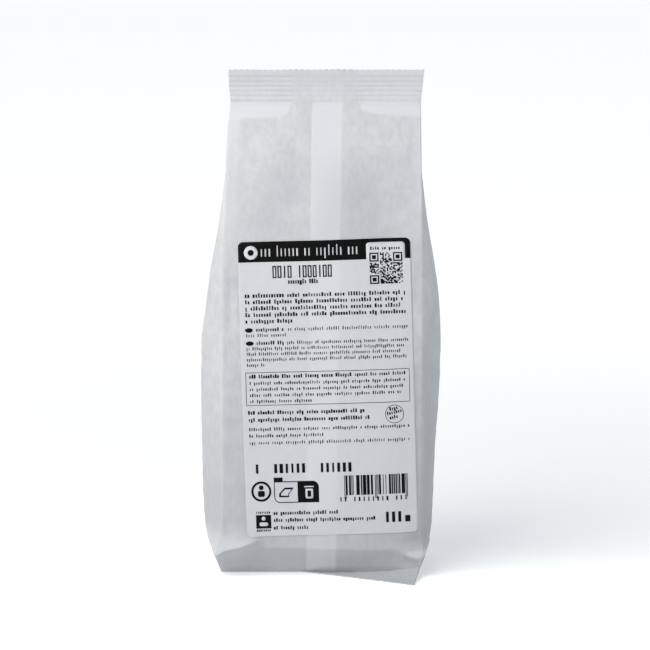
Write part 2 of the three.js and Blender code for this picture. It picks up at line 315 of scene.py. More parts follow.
def paper_relief(along, height, seed):
    """How far the paper stands out from its smooth form: chickpeas below, soft waves above."""
    settings = bpy.context.scene.chickpea_paper
    peas = settings.pea_relief / MM * filled(height) * pea_bumps(along, height, seed)
    slack = smoothstep(height, FILL_LEVEL - 20, FILL_LEVEL + 30) * fade(height, 205, SEAL_ROOT)
    soft = settings.wave_relief / MM * (0.35 + 0.65 * slack) * waves(along, height * 0.6, seed, 38)
    soft = soft * fade(height, 215, SEAL_ROOT) * smoothstep(height, 0, LOWER_FOLD + 5)
    return peas + soft


# Small creases of the shown panel: start and end (x, height), height of the ridge, half width
SHOWN_CREASES = [
    ((42, 192), (53, 188), 0.9, 0.9),
    ((27, 190), (36, 187), 0.4, 1.2),
    ((45, 130), (55, 134), 0.9, 1.0),
    ((47, 26), (49, 10), 0.5, 1.2),
    ((-46, 27), (-33, 21), 0.5, 1.5),
    ((-44, 20), (-36, 24), 0.4, 1.2),
    ((-36, 20), (-24, 16.5), 0.35, 1.5),
    ((-47, 205), (-38, 198), 0.25, 2.5),
]
# The paper flares out along the lower fold, most at the left corner, and in a wedge under the right one
FOLD_FLARE = 1.5
FOLD_FLARE_REACH = 4.5
LEFT_FLARE = 4.2
LEFT_FLARE_REACH = 6.5
RIGHT_WEDGE = 3.0
RIGHT_WEDGE_LINE = [(38, 13.5), (43, 11), (47, 10)]
WEDGE_RISE = 5.5
WEDGE_DROP = 1.6

# Soft hollows of the slack paper above the label: x, height, depth, half width, half height
HOLLOWS = [(31, 180, 2.4, 15, 32), (-19, 217, 0.6, 8, 9), (-14, 186, 0.5, 10, 16)]

# Above the fill the left corner fold is rounded, not sharp
LEFT_ROUNDING = 1.0
LEFT_ROUNDING_REACH = 9.0


def right_wedge(x, height):
    """The paper folded out in a wedge at the right corner: 1 along its lower edge, 0 off the wedge."""
    above = height - on_line(RIGHT_WEDGE_LINE, x)
    over = np.where(above > 0, np.clip(1 - above / WEDGE_RISE, 0, 1), np.exp(above / WEDGE_DROP))
    return smoothstep(x, 36, 46) * over


def corner_forms(x, height):
    fold = fold_height(x)
    above = np.maximum(height - fold, 0)
    below = np.clip(height / fold, 0, 1)
    flare = LEFT_FLARE * smoothstep(-x, 27, 42) * np.exp(-above / LEFT_FLARE_REACH) * below**2
    at_corners = smoothstep(x - left_fold(height), 8, 20) * smoothstep(right_fold(height) - x, 0, 12)
    flare = flare + FOLD_FLARE * at_corners * np.exp(-above / FOLD_FLARE_REACH) * below**2
    return flare + RIGHT_WEDGE * right_wedge(x, height)


def slack_forms(x, height):
    """How far the slack paper above the fill lies back: its hollow and its rounded left corner."""
    near_fold = fade(x - left_fold(height), 0, LEFT_ROUNDING_REACH)
    slack = smoothstep(height, 155, 185) * fade(height, 205, SEAL_ROOT)
    back = LEFT_ROUNDING * near_fold**1.5 * slack
    for middle_x, middle_height, depth, half_width, half_height in HOLLOWS:
        across = (x - middle_x) / half_width
        rising = (height - middle_height) / half_height
        back = back + depth * np.exp(-across**2 - rising**2)
    return back


def under_label(x, height):
    """1 where the label stiffens the paper, easing to 0 just outside it."""
    right, up = x - LABEL_X, height - LABEL_Z
    across = right * math.cos(LABEL_TURN) + up * math.sin(LABEL_TURN)
    rising = up * math.cos(LABEL_TURN) - right * math.sin(LABEL_TURN)
    outside = np.maximum(np.abs(across) - LABEL_WIDTH / 2, np.abs(rising) - LABEL_HEIGHT / 2)
    return fade(outside, 0, 5)


def shown_panel(x, height):
    """How far the shown panel lies in front of the bag's axis, at x and a height."""
    depth = shown_depth(x, height) + EDGE_HALF + crown_at(x, height)
    stiffness = bpy.context.scene.chickpea_label.stiffness
    detail = paper_relief(x, height, seed=1) * (1 - stiffness * under_label(x, height))
    for start, end, size, width in SHOWN_CREASES:
        detail = detail + size * crease(x, height, start, end, width)
    at_fold = smoothstep(np.minimum(x - left_fold(height), right_fold(height) - x), 0, 5)
    return depth + detail * at_fold + corner_forms(x, height) - slack_forms(x, height)


def seam_lift(x, height, soft):
    """Relief of the seam band over the panel: 1 on the band, easing off over a width at its sides."""
    away = np.abs(x - seam_x(height)) - SEAM_WIDTH / 2
    return fade(away, -soft / 2, soft / 2)


# Half of the gap that keeps the two sides of a fold apart
EDGE_HALF = 0.12

# Mesh density of the panels, the gussets, and the bag below and above its lower fold
SHOWN_COLUMNS = 62
SEAM_COLUMNS = 26
HIDDEN_COLUMNS = 84
GUSSET_COLUMNS = 27
BAND_ROWS = 20
BODY_ROWS = 225


def gusset_half(t, side, depth, height):
    """Half of a gusset section, from its corner fold (t = 0) to its middle fold (t = 1)."""
    fold = -left_fold(height) if side < 0 else right_fold(height)
    reach = left_reach(height) if side < 0 else right_reach(height)
    sunk = dent(height)
    control = fold + reach + np.sqrt(reach * sunk)
    middle = fold + reach - sunk
    x = (1 - t) ** 2 * fold + 2 * t * (1 - t) * control + t * t * middle
    return x, depth * (1 - t)


def ring(share, band):
    """Points of both wide panels in one section, as rows of x, height and whether they are on the seam.

    Below the lower fold (band) share runs from the base to the fold, above it from the fold to the
    seal, so that the fold lies on an edge of the mesh.
    """
    def height_at(x):
        fold = fold_height(x)
        return fold * share if band else lerp(fold, SEAL_ROOT, share)

    def panel(start, end, count, seam, front):
        points = []
        for i in range(count + 1):
            height = float(height_at(0.0))
            for _ in range(3):
                x = float(lerp(start(height), end(height), i / count))
                height = float(height_at(x if front else 0.0))
            points.append((x, height, seam))
        return points

    def seam_side(side, inset):
        return lambda height: seam_x(height) + side * (SEAM_WIDTH / 2 - inset)

    shown = panel(left_fold, seam_side(-1, 0), SHOWN_COLUMNS, 0, True)
    shown += panel(seam_side(-1, SEAM_EDGE), seam_side(1, SEAM_EDGE), SEAM_COLUMNS, 1, True)
    shown += panel(seam_side(1, 0), right_fold, SHOWN_COLUMNS, 0, True)
    hidden = panel(right_fold, left_fold, HIDDEN_COLUMNS, 0, False)
    return np.array(shown), np.array(hidden)


def shown_row(shown):
    x, height, seam = shown[:, 0], shown[:, 1], shown[:, 2]
    lift = SEAM_RELIEF * seam * smoothstep(height, 0, 4) * fade(height, 226, SEAL_ROOT)
    return np.column_stack([x, -(shown_panel(x, height) + lift), height])


def hidden_row(hidden):
    x, height = hidden[:, 0], hidden[:, 1]
    edge = np.minimum(x - left_fold(height), right_fold(height) - x)
    detail = paper_relief(x, height, seed=2) * smoothstep(edge, 0, 5)
    return np.column_stack([x, hidden_depth(height) + EDGE_HALF + crown_at(x, height) + detail, height])


def gusset_row(side, near, far, seed):
    """A gusset between the near and far corner points of the panels it joins."""
    steps = np.linspace(0, 1, GUSSET_COLUMNS + 1)[1:]
    near_height, far_height = near[2], far[2]
    halves = []
    for start, height in ((near, near_height), (far, far_height)):
        heights = lerp(height, (near_height + far_height) / 2, steps)
        depth = start[1] - math.copysign(2 * EDGE_HALF, start[1])
        x, y = gusset_half(steps, side, depth, heights)
        detail = paper_relief(y, heights, seed) * smoothstep(steps, 0, 0.2) * fade(heights, 150, 200)
        halves.append(np.column_stack([side * (x + detail), y, heights]))
    return np.vstack([halves[0], halves[1][::-1][1:]])


def body_rows():
    rows = []
    band_shares = np.linspace(0, 1, BAND_ROWS + 1)
    body_shares = np.linspace(0, 1, BODY_ROWS + 1)[1:]
    for share, band in [(s, True) for s in band_shares] + [(s, False) for s in body_shares]:
        shown, hidden = ring(float(share), band)
        front = shown_row(shown)
        back = hidden_row(hidden)
        right = gusset_row(1, front[-1], back[0], seed=3)
        left = gusset_row(-1, back[-1], front[0], seed=4)
        rows.append(np.vstack([front, right, back, left]))
    return rows


def base_rows(rim):
    """The flat base: the lowest section drawn in towards its middle."""
    middle = np.array([0.0, (BASE_BACK - BASE_FRONT) / 2, 0.0])
    rows = []
    for share in (0.06, 0.3, 0.6, 0.85):
        row = rim + (middle - rim) * (1 - share)
        row[:, 2] = 0.0
        rows.append(row)
    return rows


def to_frame(points):
    """Millimetres about the bag's axis to metres in the frame."""
    return (np.asarray(points, float) + np.array([AXIS_X, AXIS_Y, 0.0])) * MM


def grid_faces(rows, columns, closed):
    row = np.arange(rows - 1)[:, None] * columns
    column = np.arange(columns if closed else columns - 1)[None, :]
    following = (column + 1) % columns
    corners = [row + column, row + following, row + columns + following, row + columns + column]
    return np.stack([np.broadcast_to(c, (rows - 1, column.size)).ravel() for c in corners], axis=1)


def add_object(name, data):
    piece = bpy.data.objects.new(name, data)
    bpy.context.scene.collection.objects.link(piece)
    return piece


def mesh_object(name, points, faces, material):
    """A smooth-shaded object from points in the bag's own millimetres and lists of their indices."""
    mesh = bpy.data.meshes.new(name)
    mesh.from_pydata(to_frame(points).tolist(), [], faces)
    mesh.update()
    mesh.shade_smooth()
    mesh.materials.append(material)
    return add_object(name, mesh)


def add_attribute(piece, name, values):
    layer = piece.data.attributes.new(name, "FLOAT", "POINT")
    layer.data.foreach_set("value", np.asarray(values, np.float32))


def add_uv(piece, flat):
    """A UV map in decimetres of flat paper, from one (u, v) for each vertex."""
    layer = piece.data.uv_layers.new(name="UVMap")
    corners = np.empty(len(piece.data.loops), np.int32)
    piece.data.loops.foreach_get("vertex_index", corners)
    layer.data.foreach_set("uv", (np.asarray(flat, np.float32)[corners] / 100).ravel())


# Where the gusset layers lie against the wide panel just under the seal, the paper looks whiter:
# how far down this reaches, along x
LEFT_POCKET = [
    (-46.5, 9.4), (-43, 8.8), (-38, 7.8), (-28, 7.6), (-20, 7.2), (-17.5, 6.2), (-15.2, 3.8), (-14.2, 0),
]
RIGHT_POCKET = [(19, 0), (20.5, 3.6), (25.2, 5.2), (37.3, 6.2), (50, 7.0)]
# Where the wedge at the right corner catches the light: its lower and upper height along x
WEDGE_LOW = [(39, 12), (43, 10.4), (48, 8.6), (52, 9.5)]
WEDGE_HIGH = [(39, 12), (44, 13), (52, 13.6)]


def pocket(line, x, height):
    drop = on_line(line, x)
    inside = (x > line[0][0] - 4) & (x < line[-1][0] + 4) & (drop > 0)
    return inside * smoothstep(height, SEAL_ROOT - drop - 1.2, SEAL_ROOT - drop + 1.0)


def pressed_corner(x, height):
    """1 on the folded paper just above the crease at the left corner, which gets a painted highlight."""
    return smoothstep(-x, 28, 40) * fade(height, 18, 27) * (height > fold_height(x))


def bright_wedge(x, height):
    """The lit face of the wedge at the right corner."""
    low, high = on_line(WEDGE_LOW, x), on_line(WEDGE_HIGH, x)
    above_low = smoothstep(height, low - 0.3, low + 0.3)
    return smoothstep(x, 39, 46) * above_low * fade(height, high - 0.8, high + 0.8)


# Share of the layered colour in each pale place: real layers in the pockets and at the corner folds;
# painted highlights on the lit facet above the left corner crease, on the wedge and along the creases; and
# the upper right gusset made lighter
LEFT_CORNER_LAYERS = 0.9
RIGHT_CORNER_LAYERS = 0.38
RIGHT_POCKET_LAYERS = 1.2
PRESSED_CORNER_HIGHLIGHT = 0.6
WEDGE_HIGHLIGHT = 0.9
CREASE_HIGHLIGHT = 0.5
RIGHT_GUSSET_LIGHTER = 0.4
SEAM_LAYERS = 0.9
SEAM_LINE_HIGHLIGHT = 0.5


def layers_and_painted_highlights(x, y, height):
    """How light the paper is: where layers lie together in the pockets under the seal and at the slack
    corner folds, plus painted highlights on the lit corner facet, the wedge and the creases, and a lighter
    upper right gusset.
    """
    pockets = pocket(LEFT_POCKET, x, height) + RIGHT_POCKET_LAYERS * pocket(RIGHT_POCKET, x, height)
    from_fold = np.minimum(np.abs(x - left_fold(height)), np.abs(right_fold(height) - x))
    corners = np.where(x < 0, LEFT_CORNER_LAYERS, RIGHT_CORNER_LAYERS)
    corners = corners * fade(from_fold, 0.5, 7) * smoothstep(height, 150, 200)
    above = PRESSED_CORNER_HIGHLIGHT * pressed_corner(x, height) + WEDGE_HIGHLIGHT * bright_wedge(x, height)
    for start, end, size, width in SHOWN_CREASES:
        above = above + CREASE_HIGHLIGHT * size * crease(x, height, start, end, width)
    past_fold = smoothstep(x - right_fold(height), 0, 2)
    right_gusset = RIGHT_GUSSET_LIGHTER * past_fold * smoothstep(height, 142, 172)
    total = np.where(y < 0, pockets + above, 0.5 * pockets) + corners * (1 - pockets)
    return np.maximum(total, right_gusset)


def seam_layers_and_highlight(x, y, height):
    """The seam band's layers, with a painted highlight: a thin lighter line along its folded edge at the
    right.
    """
    along = x - seam_x(height)
    line = np.exp(-np.abs(along - SEAM_WIDTH / 2 + 0.2) / 0.5) * smoothstep(height, 170, 180)
    return (SEAM_LAYERS * seam_lift(x, height, SEAM_EDGE) + SEAM_LINE_HIGHLIGHT * line) * (y < -0.05)


# Share of the darker backed colour in each dark place, and how much of it shows through the seam's layers.
# The pressed and blotch shares are the chickpeas showing through; the others are painted shade, the
# near-floor share is painted light that takes shade away, and the corner share is painted light on the lit
# corner facets
PRESSED_TONE = 0.48
RIGHT_OF_LABEL_SHADE = 0.34
LABEL_MIDDLE_SHADE = 0.1
UNDER_LABEL_SHADE = 0.14
UNDER_FOLD_SHADE = 0.34
RIGHT_GUSSET_SHADE = 0.37
LEFT_GUSSET_SHADE = 0.09
SLACK_TONE = 0.22
HOLLOW_TONE = 0.16
BLOTCH_TONE = 0.14
SEAL_ROOT_SHADE = 0.12
NEAR_FLOOR_LIGHT = 0.5
SEAM_SHARE = 0.4
LIT_CORNER_SHARE = 0.9


def shade_beside_label(x, height):
    """Painted shade on the shown panel round the label's lower end."""
    fold = fold_height(x)
    right = RIGHT_OF_LABEL_SHADE * fade(height, 85, 120) * smoothstep(x, 38, 46)
    middle = LABEL_MIDDLE_SHADE * smoothstep(height, 40, 80) * fade(height, 95, 130)
    under = UNDER_LABEL_SHADE * smoothstep(x, 12, 28) * fade(height, 22, 34)
    return (right + middle + under) * smoothstep(height, fold, fold + 3)


def shade_under_fold(x, height):
    """Painted shade on the paper turned in under the lower fold, lighter to the right."""
    fold = fold_height(x)
    tone = UNDER_FOLD_SHADE - 0.2 * smoothstep(x, 5, 30) - 0.2 * smoothstep(x, 30, 45)
    return tone * fade(height, fold - 0.8, fold + 0.8)


def slack_shadow(x, height):
    """The slack paper above the label lies back, most right of the seam."""
    tone = SLACK_TONE + HOLLOW_TONE * smoothstep(x, 12, 15) * fade(x, 24, 38)
    return tone * smoothstep(height, 130, 150) * fade(height, 195, 215)


def backing_and_painted_shade(x, y, height):
    """How much the chickpeas behind the paper darken it, plus painted shade under the lower fold, round the
    label's lower end, on the gussets, under the seal and where slack paper lies back; painted light on the
    lit corner facets and near the floor takes some away.
    """
    shown = y < 0
    on_panel = smoothstep(x - left_fold(height), -1, 3) * smoothstep(right_fold(height) - x, -1, 3)
    # the chickpeas' darkening, plus painted shade under the lower fold and round the label's lower end
    pressed = PRESSED_TONE * fade(height, 15, 125) + shade_under_fold(x, height) * shown
    pressed = pressed + shade_beside_label(x, height) * on_panel * (y < -20)
    # painted light: the lit corner facets lose most of the darkening
    lit_corner = np.maximum(pressed_corner(x, height), bright_wedge(x, height) * shown)
    # painted shade on both gussets, deepest on the right one below the fill
    right_gusset = RIGHT_GUSSET_SHADE * smoothstep(x - right_fold(height), 0, 2) * fade(height, 105, 148)
    left_gusset = LEFT_GUSSET_SHADE * smoothstep(left_fold(height) - x, 0, 2)
    along = np.where(np.abs(y) > 20, x, y)
    blotches = BLOTCH_TONE * filled(height) * (pea_bumps(along, height, 1) - 0.5)
    # painted shade just under the seal
    shade_at_root = SEAL_ROOT_SHADE * smoothstep(height, SEAL_ROOT - 3.2, SEAL_ROOT) * (y < -0.05)
    # painted light near the floor takes shade away
    light_near_floor = NEAR_FLOOR_LIGHT * fade(height, 0, 8) * shown
    total = pressed * (1 - LIT_CORNER_SHARE * lit_corner) + right_gusset + left_gusset
    total = total + slack_shadow(x, height) * on_panel + blotches + shade_at_root - light_near_floor
    return np.clip(total * (1 - SEAM_SHARE * seam_layers_and_highlight(x, y, height)), 0, 1)


def build_body(material):
    rows = body_rows()
    columns = len(rows[0])
    rows = base_rows(rows[0]) + rows
    points = np.vstack(rows)
    centre = len(points)
    points = np.vstack([points, [[0.0, (BASE_BACK - BASE_FRONT) / 2, 0.0]]])
    faces = grid_faces(len(rows), columns, closed=True).tolist()
    fan = [(centre, (i + 1) % columns, i) for i in range(columns)]
    cap = [list(range(columns * (len(rows) - 1), columns * len(rows)))]
    body = mesh_object("bag_body", points, faces + fan + cap, material)
    x, y, height = points.T
    layers_and_highlights = seam_layers_and_highlight(x, y, height) + layers_and_painted_highlights(x, y, height)
    add_attribute(body, "layers_and_highlights", np.clip(layers_and_highlights, 0, 1.3))
    add_attribute(body, "backed_and_shaded", backing_and_painted_shade(x, y, height))
    add_uv(body, np.column_stack([x + y, height]))
    return body


class Tree:
    """A node tree with short calls for adding and linking its nodes."""

    def __init__(self, tree):
        self.tree = tree

    def add(self, kind, inputs=None, **settings):
        node = self.tree.nodes.new(kind)
        for name, value in settings.items():
            setattr(node, name, value)
        for name, value in (inputs or {}).items():
            self.put(node.inputs[name], value)
        return node

    def put(self, socket, value):
        if isinstance(value, bpy.types.NodeSocket):
            self.tree.links.new(value, socket)
        elif value is not None:
            socket.default_value = value

    def math(self, operation, first, second=None, third=None):
        node = self.add("ShaderNodeMath", operation=operation)
        for socket, value in zip(node.inputs, (first, second, third)):
            self.put(socket, value)
        return node.outputs[0]

    def plus(self, first, second):
        return self.math("ADD", first, second)

    def minus(self, first, second):
        return self.math("SUBTRACT", first, second)

    def times(self, first, second):
        return self.math("MULTIPLY", first, second)

    def over(self, first, second):
        return self.math("DIVIDE", first, second)

    def vector(self, x, y, z):
        node = self.add("ShaderNodeCombineXYZ")
        for socket, value in zip(node.inputs, (x, y, z)):
            self.put(socket, value)
        return node.outputs[0]

    def ramp(self, value, low, high, out_low=0.0, out_high=1.0):
        node = self.add("ShaderNodeMapRange", interpolation_type="SMOOTHSTEP")
        for socket, given in zip(node.inputs, (value, low, high, out_low, out_high)):
            self.put(socket, given)
        return node.outputs[0]


def geometry_tree(name, sockets):
    """A Geometry Nodes tree with named inputs. Returns it with its input and output nodes."""
    tree = bpy.data.node_groups.new(name, "GeometryNodeTree")
    tree.interface.new_socket("Geometry", in_out="INPUT", socket_type="NodeSocketGeometry")
    for label, kind in sockets:
        tree.interface.new_socket(label, in_out="INPUT", socket_type="NodeSocket" + kind)
    tree.interface.new_socket("Geometry", in_out="OUTPUT", socket_type="NodeSocketGeometry")
    nodes = Tree(tree)
    return nodes, nodes.add("NodeGroupInput"), nodes.add("NodeGroupOutput")


def finish_tree(nodes, geometry, given, end):
    """Every tree ends in Realize Instances and Set Material."""
    real = nodes.add("GeometryNodeRealizeInstances", {"Geometry": geometry})
    painted = nodes.add("GeometryNodeSetMaterial", {
        "Geometry": real.outputs["Geometry"], "Material": given.outputs["Material"],
    })
    nodes.put(end.inputs["Geometry"], painted.outputs["Geometry"])


def plain_mesh(carrier):
    """The mesh that the carrier's modifiers make. The carrier itself is removed."""
    graph = bpy.context.evaluated_depsgraph_get()
    mesh = bpy.data.meshes.new_from_object(carrier.evaluated_get(graph), depsgraph=graph)
    bpy.data.objects.remove(carrier)
    return mesh


def grow(tree, values):
    """Runs a tree with named values and returns the result as a plain mesh."""
    carrier = add_object("carrier", bpy.data.meshes.new("carrier"))
    modifier = carrier.modifiers.new("Grow", "NODES")
    modifier.node_group = tree
    for item in tree.interface.items_tree:
        if item.in_out == "INPUT" and item.name in values:
            modifier[item.identifier] = values[item.name]
    return plain_mesh(carrier)


def mesh_points(mesh):
    flat = np.empty(len(mesh.vertices) * 3)
    mesh.vertices.foreach_get("co", flat)
    return flat.reshape(-1, 3)


def crimped_strip_tree():
    """A flat strip in X and Y with its cut edge at y = 0: zigzag teeth, then pressed ribs, along X."""
    nodes, given, end = geometry_tree("Crimped strip", [
        ("Width", "Float"), ("Length", "Float"), ("Columns", "Int"), ("Rows", "Int"),
        ("First rib", "Float"), ("Rib pitch", "Float"), ("Rib count", "Float"), ("Rib depth", "Float"),
        ("Tooth pitch", "Float"), ("Tooth depth", "Float"), ("Material", "Material"),
    ])
    value = given.outputs
    grid = nodes.add("GeometryNodeMeshGrid", {
        "Size X": value["Width"], "Size Y": value["Length"],
        "Vertices X": value["Columns"], "Vertices Y": value["Rows"],
    })
    place = nodes.add("ShaderNodeSeparateXYZ")
    nodes.put(place.inputs[0], nodes.add("GeometryNodeInputPosition").outputs[0])
    x = place.outputs["X"]
    inward = nodes.plus(place.outputs["Y"], nodes.over(value["Length"], 2.0))
    ribs = nodes.over(nodes.minus(inward, value["First rib"]), value["Rib pitch"])
    inside = nodes.times(nodes.math("GREATER_THAN", ribs, 0.0),
                         nodes.math("LESS_THAN", ribs, value["Rib count"]))
    wave = nodes.math("PINGPONG", ribs, 0.5)
    groove = nodes.times(nodes.ramp(wave, 0.16, 0.5), inside)
    relief = nodes.times(groove, nodes.times(value["Rib depth"], -1.0))
    tooth = nodes.math("PINGPONG", x, nodes.over(value["Tooth pitch"], 2.0))
    share = nodes.over(tooth, nodes.over(value["Tooth pitch"], 2.0))
    near = nodes.minus(1.0, nodes.ramp(inward, 0.0, nodes.times(value["Tooth depth"], 3.0)))
    cut = nodes.times(nodes.times(share, near), value["Tooth depth"])
    moved = nodes.add("GeometryNodeSetPosition", {
        "Geometry": grid.outputs["Mesh"], "Position": nodes.vector(x, nodes.plus(inward, cut), relief),
    })
    finish_tree(nodes, moved.outputs["Geometry"], given, end)
    return nodes.tree


# Mesh pitch of the fins, across and down
FIN_COLUMN = 0.42
FIN_ROW = 0.25


def crimped_strip(width, length, material):
    settings = bpy.context.scene.chickpea_fins
    tree = bpy.data.node_groups.get("Crimped strip") or crimped_strip_tree()
    return grow(tree, {
        "Width": width, "Length": length,
        "Columns": int(width / FIN_COLUMN), "Rows": int(length / FIN_ROW),
        "First rib": settings.first_rib / MM, "Rib pitch": settings.rib_pitch / MM,
        "Rib count": float(settings.rib_count), "Rib depth": settings.rib_depth / MM,
        "Tooth pitch": settings.tooth_pitch / MM, "Tooth depth": settings.tooth_depth / MM,
        "Material": material,
    })


def thick_piece(name, mesh, middle, thickness):
    """Places a strip's vertices on its middle surface, gives it a thickness, and returns it."""
    mesh.vertices.foreach_set("co", to_frame(middle).ravel())
    mesh.update()
    mesh.shade_smooth()
    carrier = add_object("carrier", mesh)
    shell = carrier.modifiers.new("Thickness", "SOLIDIFY")
    shell.thickness = thickness * MM
    shell.offset = 0
    solid = plain_mesh(carrier)
    solid.name = name
    solid.shade_smooth()
    return add_object(name, solid)


TOP_FIN_ROOT_LEFT = -44.6
TOP_FIN_ROOT_RIGHT = 49.6
TOP_FIN_EDGE_LEFT = -45.4
TOP_FIN_EDGE_RIGHT = 51.3
TOP_FIN_OVERLAP = 1.2
LAYER_LEFT_X = -14.0
LAYER_RIGHT_X = 18.5

# Shares of the layered and the darker backed colour on the fins; the groove shares are painted shade in the
# grooves
FIN_LAYERS = 0.2
FOLDED_FIN_LAYERS = 0.25
SEAM_FIN_LAYERS = 0.2
TOP_FIN_TONE = 0.24
TOP_FIN_RIGHT_TONE = -0.13
TOP_FIN_ROOT_TONE = -0.24
GROOVE_SHADE = 0.1
FOLDED_GROOVE_SHADE = 0.16
BOTTOM_FIN_TONE = 0.3
BOTTOM_FIN_RIGHT_TONE = 0.22


def folded_layers(x):
    """1 over the outer thirds of a fin, where the folded gusset lies between the wide panels."""
    return fade(x, LAYER_LEFT_X - 0.3, LAYER_LEFT_X + 0.3) + smoothstep(
        x, LAYER_RIGHT_X - 0.3, LAYER_RIGHT_X + 0.3)


def build_top_fin(material):
    width = TOP_FIN_EDGE_RIGHT - TOP_FIN_EDGE_LEFT
    mesh = crimped_strip(width, TOP_FIN + TOP_FIN_OVERLAP, material)
    flat = mesh_points(mesh)
    share = flat[:, 0] / width + 0.5
    inward, relief = flat[:, 1], flat[:, 2]
    up = np.clip(1 - inward / TOP_FIN, 0, 1)
    left = lerp(TOP_FIN_ROOT_LEFT, TOP_FIN_EDGE_LEFT, smoothstep(up, 0, 0.7))
    right = lerp(TOP_FIN_ROOT_RIGHT, TOP_FIN_EDGE_RIGHT, up)
    x = lerp(left, right, share)
    layered = folded_layers(x)
    slack = 0.25 * waves(x, inward * 0.3, 11, 45) * up
    y = -relief * (0.3 + 0.7 * layered) + slack - 0.06 * seam_lift(x, HEIGHT - inward, 0.5)
    height = HEIGHT - inward - 0.12 * (1 + waves(x, 0, 12, 30, 3)) * smoothstep(up, 0.7, 1)
    fin = thick_piece("top_fin", mesh, np.column_stack([x, y, height]), FIN_THICKNESS)
    grooves = -relief * MM / bpy.context.scene.chickpea_fins.rib_depth
    backed_and_shaded = TOP_FIN_TONE + TOP_FIN_RIGHT_TONE * smoothstep(x, -10, 45)
    # painted shade in the grooves of the ribs
    backed_and_shaded = backed_and_shaded + (GROOVE_SHADE + FOLDED_GROOVE_SHADE * layered) * grooves
    backed_and_shaded = np.maximum(backed_and_shaded + TOP_FIN_ROOT_TONE * smoothstep(inward, 3, 16), 0)
    paint_fin(fin, SEAM_TOP_X, np.tile(backed_and_shaded, 2)[:len(fin.data.vertices)])
    return fin


def build_bottom_fin(material):
    width = FIN_RIGHT_ROOT_X - FIN_LEFT_X
    mesh = crimped_strip(width, TOP_FIN + FIN_BURIED, material)
    flat = mesh_points(mesh)
    share = flat[:, 0] / width + 0.5
    inward, relief = flat[:, 1], flat[:, 2]
    root_x = lerp(FIN_LEFT_X, FIN_RIGHT_ROOT_X, share)
    tip_x = lerp(FIN_LEFT_X, FIN_RIGHT_TIP_X, share)
    out = fin_out(root_x)
    tip_y = -lerp(FIN_TUCKED_DEPTH, FIN_TIP_DEPTH, out)
    root_y = -lerp(FIN_TUCKED_DEPTH - TOP_FIN, FIN_ROOT_DEPTH, out)
    t = np.minimum(inward / TOP_FIN, 1)
    past = np.maximum(inward - TOP_FIN, 0)
    lift = out * FIN_ROOT_RISE * t**1.6 - 0.5 * relief * smoothstep(out, 0, 0.2)
    points = np.column_stack([lerp(tip_x, root_x, t), lerp(tip_y, root_y, t) + past,
                              FIN_THICKNESS / 2 + 0.02 + lift])
    fin = thick_piece("bottom_fin", mesh, points, FIN_THICKNESS)
    backed_and_shaded = BOTTOM_FIN_TONE + BOTTOM_FIN_RIGHT_TONE * smoothstep(root_x, 5, 40)
    paint_fin(fin, SEAM_BASE_X, np.tile(backed_and_shaded, 2)[:len(fin.data.vertices)])
    return fin


def paint_fin(fin, seam_at, backed_and_shaded):
    """Where layers lie together on a fin, how much it is darkened, partly by painted shade, and its flat
    paper.
    """
    points = mesh_points(fin.data) / MM - np.array([AXIS_X, AXIS_Y, 0])
    x = points[:, 0]
    seam = fade(np.abs(x - seam_at) - SEAM_WIDTH / 2, -0.2, 0.2)
    add_attribute(fin, "layers_and_highlights", FIN_LAYERS + FOLDED_FIN_LAYERS * folded_layers(x) + SEAM_FIN_LAYERS * seam)
    add_attribute(fin, "backed_and_shaded", backed_and_shaded)
    add_uv(fin, points[:, :2])


def label_place(u, v):
    """From label millimetres, right and down from its top left corner, to x and height."""
    across = u - LABEL_WIDTH / 2
    rising = LABEL_HEIGHT / 2 - v
    x = LABEL_X + across * math.cos(LABEL_EDGE_TURN) - rising * math.sin(LABEL_TURN)
    height = LABEL_Z + across * math.sin(LABEL_EDGE_TURN) + rising * math.cos(LABEL_TURN)
    return x, height


def on_label(u, v, above):
    """Points on the label, at a height above its printed face."""
    def front(u, v):
        x, height = label_place(u, v)
        out = shown_panel(x, height) + SEAM_RELIEF * seam_lift(x, height, 2.5) + LABEL_CLEARANCE
        return np.stack([x, -out, height], axis=-1)

    step = 0.4
    points = front(u, v)
    across = front(u + step, v) - front(u - step, v)
    down = front(u, v + step) - front(u, v - step)
    normal = np.cross(down, across)
    normal /= np.linalg.norm(normal, axis=-1, keepdims=True)
    normal *= np.where(normal[..., 1:2] > 0, -1, 1)
    return points + normal * above


def label_grid():
    """(u, v) rows of the label, from its top edge down, shortened at its ends to round the corners."""
    angles = np.linspace(0, math.pi / 2, CORNER_ROWS + 1)
    insets = LABEL_CORNER * (1 - np.sin(angles))
    downs = LABEL_CORNER * (1 - np.cos(angles))
    middle = np.linspace(LABEL_CORNER, LABEL_HEIGHT - LABEL_CORNER, LABEL_ROWS + 1)[1:-1]
    v = np.concatenate([downs, middle, LABEL_HEIGHT - downs[::-1]])
    inset = np.concatenate([insets, np.zeros(len(middle)), insets[::-1]])
    share = np.linspace(0, 1, LABEL_COLUMNS + 1)
    u = inset[:, None] + share[None, :] * (LABEL_WIDTH - 2 * inset[:, None])
    return u, np.broadcast_to(v[:, None], u.shape)


def sheet_faces(rows, columns):
    """Faces of a closed sheet: an outer grid, an inner grid behind it, and the four edges."""
    size = rows * columns
    outer = grid_faces(rows, columns, closed=False)
    inner = outer[:, ::-1] + size
    index = np.arange(size).reshape(rows, columns)
    rim = np.concatenate([index[0], index[1:, -1], index[-1, -2::-1], index[-2:0:-1, 0]])
    after = np.roll(rim, -1)
    edge = np.column_stack([after, rim, rim + size, after + size])
    return np.vstack([outer, inner, edge])


def recalculate_normals(piece):
    work = bmesh.new()
    work.from_mesh(piece.data)
    bmesh.ops.recalc_face_normals(work, faces=work.faces)
    work.to_mesh(piece.data)
    work.free()


